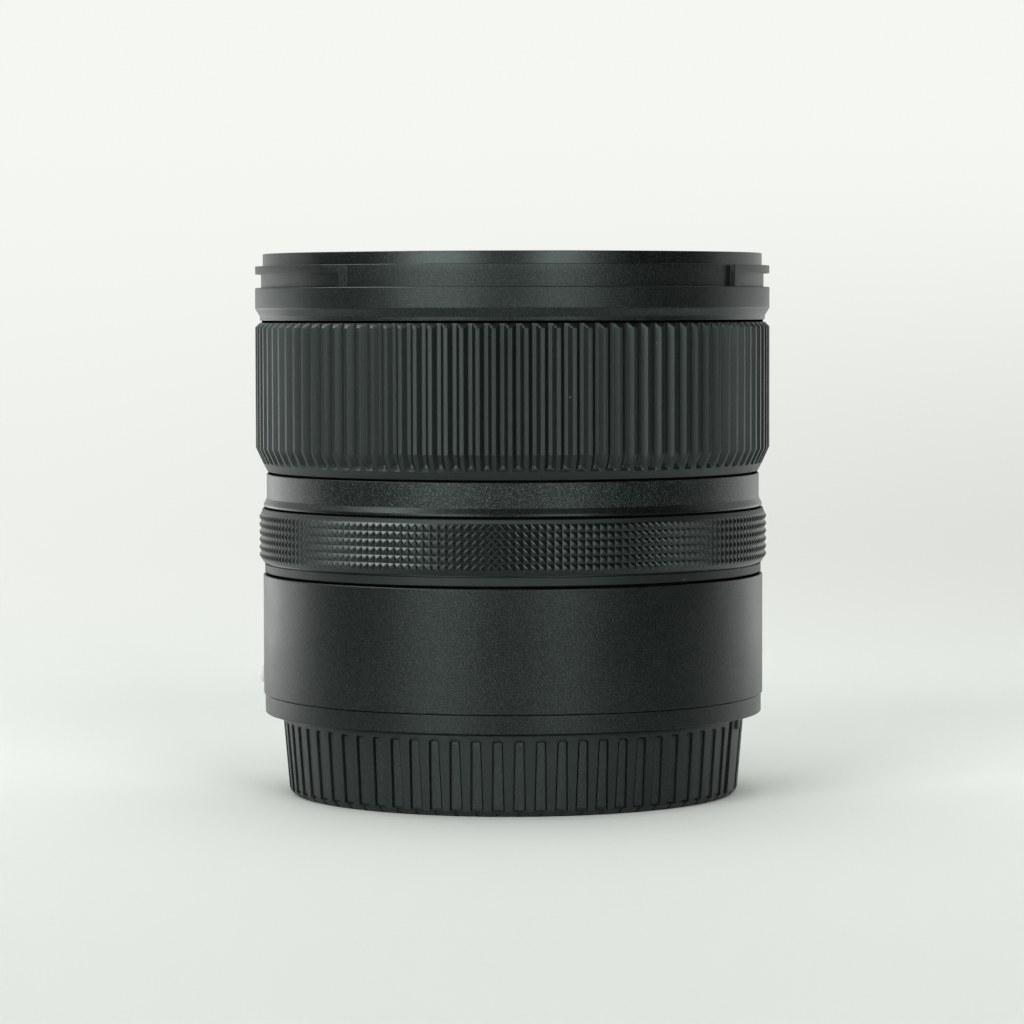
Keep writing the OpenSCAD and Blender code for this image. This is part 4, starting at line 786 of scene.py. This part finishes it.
class LENS_OT_control_ring(bpy.types.Operator):
    """Model the control ring with its rows of pyramids"""
    bl_idname = "lens.control_ring"
    bl_label = "Control ring"

    def execute(self, context):
        sizes = context.scene.lens_sizes
        low, high = span("control_ring")
        peak = 35.63
        valley = peak - sizes.knurl_height / MM
        bore, foot = 33.28, 34.8
        knurl_low, knurl_high = low + 1.9, high - 0.45
        row = (knurl_high - knurl_low) / sizes.knurl_rows
        points = [(bore, low), (foot - 0.1, low), (foot, low + 0.1), (foot, low + 1.16),
                  (foot - 0.25, low + 1.22), (foot - 0.25, low + 1.38), (foot + 0.2, low + 1.46)]
        land = 0.04
        for start in (knurl_low + k * row for k in range(sizes.knurl_rows)):
            points += [(valley, start + land), (valley, start + row - land)]
        points += [(valley, knurl_high), (35.2, knurl_high + 0.25), (35.12, high + SEAM_LIFT - 0.1),
                   (34.95, high + SEAM_LIFT), (bore, high + SEAM_LIFT)]
        piece = turned(
            "control_ring_knurl", points, sizes.knurl_columns, math.degrees(sizes.knurl_azimuth))
        pick(piece, "FACE", lambda a, r, z: (
            r > foot and knurl_low < z < knurl_high and 0.3 < (z - knurl_low) / row % 1 < 0.7))
        bpy.ops.mesh.poke(offset=sizes.knurl_height, center_mode="MEDIAN")
        pick(piece, "EDGE", lambda a, r, z: (
            knurl_low < z < knurl_high and r > valley + 0.4 * sizes.knurl_height / MM))
        bpy.ops.mesh.bevel(offset=0.07 * MM, segments=1, affect="EDGES")
        finish_piece(piece, "control", knurl_black(), ["control_ring"], 12)
        return {"FINISHED"}


class LENS_OT_seam_shade_rings(bpy.types.Operator):
    """Model dark rings that fill the seams with painted shade"""
    bl_idname = "lens.seam_felts"
    bl_label = "Seam shade rings"

    # Name of each ring of painted shade, the solids below and above its seam, its radius and how
    # far it is lifted
    felts = (("front_seam_felt", "zoom_ring_grip", "front_ring", 35.1, 0),
             ("zoom_seam_felt", "middle_band", "zoom_ring_grip", 34.3, 0),
             ("control_seam_felt", "control_ring", "middle_band", 34.8, SEAM_LIFT),
             ("barrel_seam_felt", "rear_barrel", "control_ring", 34.65, 0))

    def execute(self, context):
        clear, thick = 0.01, 0.9
        for name, below, above, outer, lift in self.felts:
            low, high = span(below)[1] + lift + clear, span(above)[0] + lift - clear
            # Each ring is painted shade: a dead black sheet in the seam, where there is only shadow
            piece = turned(name, rounded([
                (outer - thick, low, 0), (outer, low, 0.06), (outer, high, 0.06),
                (outer - thick, high, 0)]))
            finish_piece(piece, "barrel", "Felt black", [])
        return {"FINISHED"}


class LENS_OT_rear_barrel(bpy.types.Operator):
    """Model the rear barrel and the rear ring below its seam"""
    bl_idname = "lens.rear_barrel"
    bl_label = "Rear barrel and ring"

    def execute(self, context):
        low, high = span("rear_barrel")
        wall, bore, seat = reach("rear_barrel"), 33.38, 30.72
        piece = turned("rear_barrel_shell", rounded([
            (bore, low + 0.08, 0), (wall, low + 0.08, 0.14), (wall, high, 0.22), (bore, high, 0)]))
        finish_piece(piece, "barrel", "Grained black", ["rear_barrel"])
        low, high = span("rear_ring")
        wall = reach("rear_ring")
        piece = turned("rear_ring_shell", rounded([
            (seat, low, 0), (wall, low, 0.16), (wall, high, 0.1), (bore, high, 0),
            (bore, low + 1.2, 0), (seat, low + 1.2, 0)]))
        finish_piece(piece, "barrel", "Grained black", ["rear_ring"])
        return {"FINISHED"}


class LENS_OT_index_dot(bpy.types.Operator):
    """Model the domed index dot"""
    bl_idname = "lens.index_dot"
    bl_label = "Index dot"

    def execute(self, context):
        low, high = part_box("index_dot")
        middle = (low + high) / 2
        azimuth = math.radians(azimuth_of(middle))
        radius = (high.z - low.z) / 2
        start_clean()
        rise, root = 0.55, 0.75
        bpy.ops.mesh.primitive_uv_sphere_add(segments=48, ring_count=24, radius=radius)
        piece = new_piece("index_dot_dome")
        bpy.ops.mesh.bisect(
            plane_co=(0, 0, 0), plane_no=(0, 0, 1), clear_inner=True, use_fill=False)
        bpy.ops.mesh.select_all(action="SELECT")
        bpy.ops.transform.resize(value=(1, 1, rise), center_override=(0, 0, 0))
        pick(piece, "VERT", lambda a, r, z: abs(z) < 1e-4)
        pull_edges(0, 0, -root * MM)
        bpy.ops.mesh.edge_face_add()
        bpy.ops.object.mode_set(mode="OBJECT")
        shell = reach("rear_barrel") * MM
        piece.rotation_euler = (math.pi / 2, 0, azimuth)
        piece.location = (shell * math.sin(azimuth), -shell * math.cos(azimuth), middle.z)
        new_piece("index_dot_dome")
        finish_piece(piece, "barrel", "Index white", ["index_dot"], 40)
        return {"FINISHED"}


class LENS_OT_rear_cap(bpy.types.Operator):
    """Model the rear cap with its upright slots"""
    bl_idname = "lens.rear_cap"
    bl_label = "Rear cap"

    def execute(self, context):
        sizes = context.scene.lens_sizes
        low, high = span("rear_cap")
        foot, mouth, wall, floor = 31.45, 32.4, 1.0, 1.2
        slope = (mouth - foot) / (high - low)
        slot_low, slot_high, nub_low, brim = low + 0.8, high - 0.9, high - 1.7, high - 0.25

        def skin(height):
            return foot + slope * (height - low)

        points = [
            (24.0, low + 0.3), (25.2, low + 0.3), (25.45, low), (foot - 0.75, low),
            (foot - 0.6, low + 0.02), (foot - 0.04, low + 0.55), (skin(slot_low), slot_low),
            (skin(nub_low), nub_low), (skin(slot_high), slot_high), (skin(brim), brim),
            (mouth - 0.1, high - 0.06), (mouth - 0.3, high), (mouth - wall, high),
            (foot - wall, low + floor), (20.0, low + floor)]
        pitch = 360 / sizes.slot_count
        first = math.degrees(sizes.slot_azimuth)
        nub_azimuth, nub_rise, recess, corner = 73.4, 0.35, 0.9, 0.26
        nub = first + round((nub_azimuth - first) / pitch) * pitch
        piece = turned(
            "rear_cap_shell", points, 6 * sizes.slot_count, first + pitch / 12, closed=False)
        close_ends(piece, points)

        def share(azimuth):
            return ((azimuth - first) / pitch + 0.5) % 1 - 0.5

        def by_nub(azimuth, slots_before=0):
            return abs(off_by(azimuth, nub - slots_before * pitch)) < pitch / 2

        def plain(azimuth):
            return not by_nub(azimuth) and not by_nub(azimuth, 1)

        # A slot narrows from its mouth to its foot
        narrow, widen = 0.19, 0.21
        for side, sense in ((-0.25, 1), (0.25, -1)):
            for height in (low + 0.02, low + 0.55, slot_low, nub_low, slot_high):
                pick(piece, "VERT", lambda a, r, z: (
                    abs(z - height) < 0.01 and r > foot - 0.7 and abs(share(a) - side) < 0.06))
                lean = widen * max(0, height - slot_low) / (slot_high - slot_low) - narrow
                turn_about_axis(sense * math.degrees(lean / skin(height)))
        pick(piece, "VERT", lambda a, r, z: (
            abs(z - slot_high) < 0.01 and r > foot - 0.1 and 0.17 < abs(share(a)) < 0.3
            and plain(a)))
        bpy.ops.mesh.bevel(offset=corner * MM, segments=1, affect="VERTICES")
        half = skin((slot_low + slot_high) / 2)
        # The recess before the nub
        pick(piece, "FACE", lambda a, r, z: (
            slot_low < z < brim and r > foot - 0.3 and by_nub(a, 1) and abs(share(a)) < 0.25))
        push_faces(1 - recess / half)
        # The slots, each with a moat around its floor
        depth, moat, moat_width, floor_turn = sizes.slot_depth / MM, 0.33, 0.2, 0.08
        pick(piece, "FACE", lambda a, r, z: (
            slot_low < z < slot_high - 0.1 and r > foot - 0.3 and abs(share(a)) < 0.2 and plain(a)))
        push_faces((half - depth - moat) / half)
        bpy.ops.mesh.inset(thickness=moat_width * MM, depth=0)
        push_faces((half - depth) / (half - depth - moat))
        turn_about_axis(floor_turn)
        # Their notches through the chamfer, and the nub
        pick(piece, "FACE", lambda a, r, z: (
            low + 0.02 < z < slot_low and r > foot - 0.5 and abs(share(a)) < 0.2))
        push_faces((half - depth) / half)
        pick(piece, "FACE", lambda a, r, z: (
            nub_low < z < brim and r > foot - 0.3 and by_nub(a) and abs(share(a)) < 0.2))
        push_faces(1 + nub_rise / half)
        soften(piece, 0.04, 28)
        finish = cap_black(foot - slope * low, slope, sizes.slot_depth)
        finish_piece(piece, "cap", finish, ["rear_cap"])
        return {"FINISHED"}


class LENS_OT_inner_finishes(bpy.types.Operator):
    """Paint the solids that stay as they are"""
    bl_idname = "lens.inner_finishes"
    bl_label = "Inner finishes"

    def execute(self, context):
        finishes = {
            "front_black": front_black(), "knurl_black": knurl_black(), "steel": bright_steel(),
            "coated_glass": glass_finish("Inner coating", 380),
            "gear_brass": metal_finish("Gear brass", (0.72, 0.55, 0.25), 0.35),
            "contact_gold": metal_finish("Contact gold", (0.83, 0.62, 0.27), 0.25)}
        for slot, name in (("inner_black", "Inside black"), ("grip_black", "Grip black"),
                           ("grain_black", "Grained black"), ("tube_alloy", "Dull alloy"),
                           ("cap_black", "Mount black"), ("mount_black", "Mount black"),
                           ("blade_black", "Blade black"), ("board_green", "Board green"),
                           ("chip_black", "Chip black"), ("dot_white", "Index white")):
            finishes[slot] = moulded_finish(name)
        slots = {part["node"]: part["material_slot"] for part in frame["record"]["subparts"]}
        for name, solid in frame["nodes"].items():
            solid.data.materials.clear()
            solid.data.materials.append(finishes[slots[name]])
        return {"FINISHED"}


class LENS_OT_stage(bpy.types.Operator):
    """Set the pale backdrop, the soft lights and the camera"""
    bl_idname = "lens.stage"
    bl_label = "Stage"

    # Each lamp's azimuth, its distance from the axis, its height and the height that it faces, its
    # width and length, and its power
    lamps = (("Left window", -33, 1.3, 0.5, 0.5, 0.72, 1.0, 14.5),
             ("Right window", 22, 1.3, 0.5, 0.5, 0.55, 1.0, 9.5),
             ("High light", -88, 0.8, 0.95, 0.04, 1.0, 0.42, 15.0),
             ("Ceiling", 180, 0.25, 1.4, 0.04, 0.6, 0.6, 1.2),
             ("Floor fill", 180, 0.1, 1.4, 0.04, 1.8, 1.8, 16.5),
             ("Left edge", -125, 0.2, 0.03, 0.03, 0.16, 0.07, 0.075),
             ("Right edge", 128, 0.2, 0.03, 0.03, 0.14, 0.07, 0.036))
    # Lamps that only show as reflections, and the lamp that leaves none
    sheen_only = ("High light", "Left edge", "Right edge")
    no_sheen = ("Floor fill",)

    def execute(self, context):
        self.backdrop()
        self.lights()
        self.world(context.scene)
        self.camera(context.scene)
        context.scene.view_settings.view_transform = "Standard"
        return {"FINISHED"}

    def backdrop(self):
        start_clean()
        bpy.ops.mesh.primitive_plane_add(size=1, location=(0, -0.72, 0))
        sweep = bpy.context.object
        sweep.scale = (3.2, 1.7, 1)
        new_piece("paper_sweep")
        bend, steps, wall = 0.3, 16, 1.5
        pick(sweep, "EDGE", lambda a, r, z: abs(abs(a) - 180) < 1)
        for step in range(steps):
            a, b = (math.radians(90 * k / steps) for k in (step, step + 1))
            pull_edges(0, bend * (math.sin(b) - math.sin(a)), bend * (math.cos(a) - math.cos(b)))
        pull_edges(0, 0, wall)
        bpy.ops.mesh.select_all(action="SELECT")
        bpy.ops.mesh.normals_make_consistent(inside=False)
        bpy.ops.object.mode_set(mode="OBJECT")
        if sweep.data.polygons[0].normal.z < 0:
            sweep.data.flip_normals()
        bpy.ops.object.shade_smooth()
        sweep.data.materials.append(self.paper())

    def paper(self):
        """Pale paper: a floor that takes the shadow and has painted shade in front, and a backdrop
        with painted shade, clear from behind.
        """
        material, tree, shader = blank_material("Pale paper")
        floor, backdrop = tuple(finish_colours().floor), tuple(finish_colours().backdrop)
        feed(tree, shader, {"Roughness": 0.7, "Specular IOR Level": 0.2})
        height, away, across, along = place_in(tree)
        rays = tree.nodes.new("ShaderNodeLightPath").outputs

        def ramp(value, start, end):
            node = tree.nodes.new("ShaderNodeMapRange")
            node.interpolation_type = "SMOOTHSTEP"
            feed(tree, node, {"Value": value, "From Min": start, "From Max": end})
            return node.outputs[0]

        def toned(colour, share):
            return tuple(channel * share for channel in colour)

        # The backdrop, with painted shade that darkens it at the foot and to the right
        even = tree.nodes.new("ShaderNodeEmission")
        low = blend_colours(
            tree, ramp(across, -0.12, 0.13), toned(backdrop, 0.93), toned(backdrop, 0.78))
        feed(tree, even, {"Color": blend_colours(tree, ramp(height, 0.0, 0.11), low, backdrop)})
        # The lit floor, darker in front with painted shade, and far darker there with painted shade
        # that shows only in what the lens mirrors
        near = blend_colours(tree, ramp(along, -0.2, 0.02), toned(floor, 0.84), floor)
        front = math_node(tree, "SUBTRACT", 1, ramp(along, -0.06, 0.08))
        front = math_node(tree, "MULTIPLY", ramp(away, 0.1, 0.28), front)
        mirrored = math_node(tree, "MULTIPLY", front, rays["Is Glossy Ray"])
        feed(tree, shader, {"Base Color": blend_colours(tree, mirrored, near, toned(floor, 0.2))})
        # The backdrop shows behind the lens, and to the camera also far from it
        seen = math_node(tree, "MAXIMUM", rays["Is Camera Ray"], rays["Is Glossy Ray"])
        seen = math_node(tree, "MAXIMUM", seen, rays["Is Transmission Ray"])
        risen = math_node(tree, "MULTIPLY", seen, ramp(along, 0.13, 0.25))
        outer = math_node(tree, "MULTIPLY", ramp(away, 0.3, 0.5), rays["Is Camera Ray"])
        sheet = mix_shaders(tree, math_node(tree, "MAXIMUM", risen, outer), shader, even)
        behind = math_node(tree, "MULTIPLY", rays["Is Camera Ray"],
                           tree.nodes.new("ShaderNodeNewGeometry").outputs["Backfacing"])
        sheet = mix_shaders(tree, behind, sheet, tree.nodes.new("ShaderNodeBsdfTransparent"))
        leave = next(node for node in tree.nodes if node.type == "OUTPUT_MATERIAL")
        tree.links.new(sheet.outputs[0], leave.inputs["Surface"])
        return material

    def lights(self):
        """Two windows beside the camera, a high light, two lights above and two along the edges."""
        for name, azimuth, away, height, aim, width, tall, power in self.lamps:
            turn = math.radians(azimuth)
            start_clean()
            bpy.ops.object.light_add(
                type="AREA", location=(away * math.sin(turn), -away * math.cos(turn), height),
                rotation=(math.atan2(away, height - aim), 0, turn))
            lamp = bpy.context.object
            lamp.name = lamp.data.name = name
            lamp.data.shape = "RECTANGLE"
            lamp.data.size, lamp.data.size_y = width, tall
            lamp.data.energy = power
            lamp.visible_diffuse = name not in self.sheen_only
            lamp.visible_glossy = name not in self.no_sheen

    def world(self, scene):
        """An even grey room that the camera sees as white."""
        world = bpy.data.worlds.new("Room")
        scene.world = world
        world.use_nodes = True
        tree = world.node_tree
        tree.nodes.clear()
        room, white, rays, leave = (tree.nodes.new("ShaderNode" + kind) for kind in (
            "Background", "Background", "LightPath", "OutputWorld"))
        feed(tree, room, {"Color": (0.85, 1, 0.8, 1), "Strength": 0.045})
        feed(tree, white, {"Color": (*finish_colours().backdrop, 1)})
        mix = mix_shaders(tree, rays.outputs["Is Camera Ray"], room, white)
        tree.links.new(mix.outputs[0], leave.inputs["Surface"])

    def camera(self, scene):
        """The photograph's camera: level with the front ring, looking slightly down."""
        away, height, down, roll = 559.29, 67.79, 2.9287, 0.134
        start_clean()
        bpy.ops.object.camera_add(
            location=(0, -away * MM, height * MM),
            rotation=(math.radians(90 - down), math.radians(roll), 0))
        camera = bpy.context.object
        camera.name = camera.data.name = "Photo camera"
        camera.data.lens = 139.99
        camera.data.sensor_width = 36
        camera.data.shift_x = -0.0003
        camera.data.clip_start = 0.01
        scene.camera = camera


PIECES = (LENS_OT_inner_finishes, LENS_OT_front_ring, LENS_OT_front_trim, LENS_OT_front_glass,
          LENS_OT_zoom_grip, LENS_OT_return_spring, LENS_OT_middle_band, LENS_OT_control_ring,
          LENS_OT_seam_shade_rings, LENS_OT_rear_barrel, LENS_OT_index_dot, LENS_OT_rear_cap,
          LENS_OT_stage)


class LENS_PT_pieces(bpy.types.Panel):
    """Lists the pieces of the lens"""
    bl_idname = "LENS_PT_pieces"
    bl_label = "Zoom lens"
    bl_space_type = "VIEW_3D"
    bl_region_type = "UI"
    bl_category = "Lens"

    def draw(self, context):
        for group in (context.scene.lens_sizes, context.scene.lens_finish):
            for name in group.bl_rna.properties.keys():
                if name not in ("rna_type", "name"):
                    self.layout.prop(group, name)
        for piece in PIECES:
            self.layout.operator(piece.bl_idname)


CLASSES = (LensSizes, LensFinish) + PIECES + (LENS_PT_pieces,)


def register():
    for cls in CLASSES:
        bpy.utils.register_class(cls)
    bpy.types.Scene.lens_sizes = bpy.props.PointerProperty(type=LensSizes)
    bpy.types.Scene.lens_finish = bpy.props.PointerProperty(type=LensFinish)


def unregister():
    del bpy.types.Scene.lens_finish
    del bpy.types.Scene.lens_sizes
    for cls in reversed(CLASSES):
        bpy.utils.unregister_class(cls)


def main():
    register()
    for piece in PIECES:
        group, name = piece.bl_idname.split(".")
        getattr(getattr(bpy.ops, group), name)()


if __name__ == "__main__":
    main()
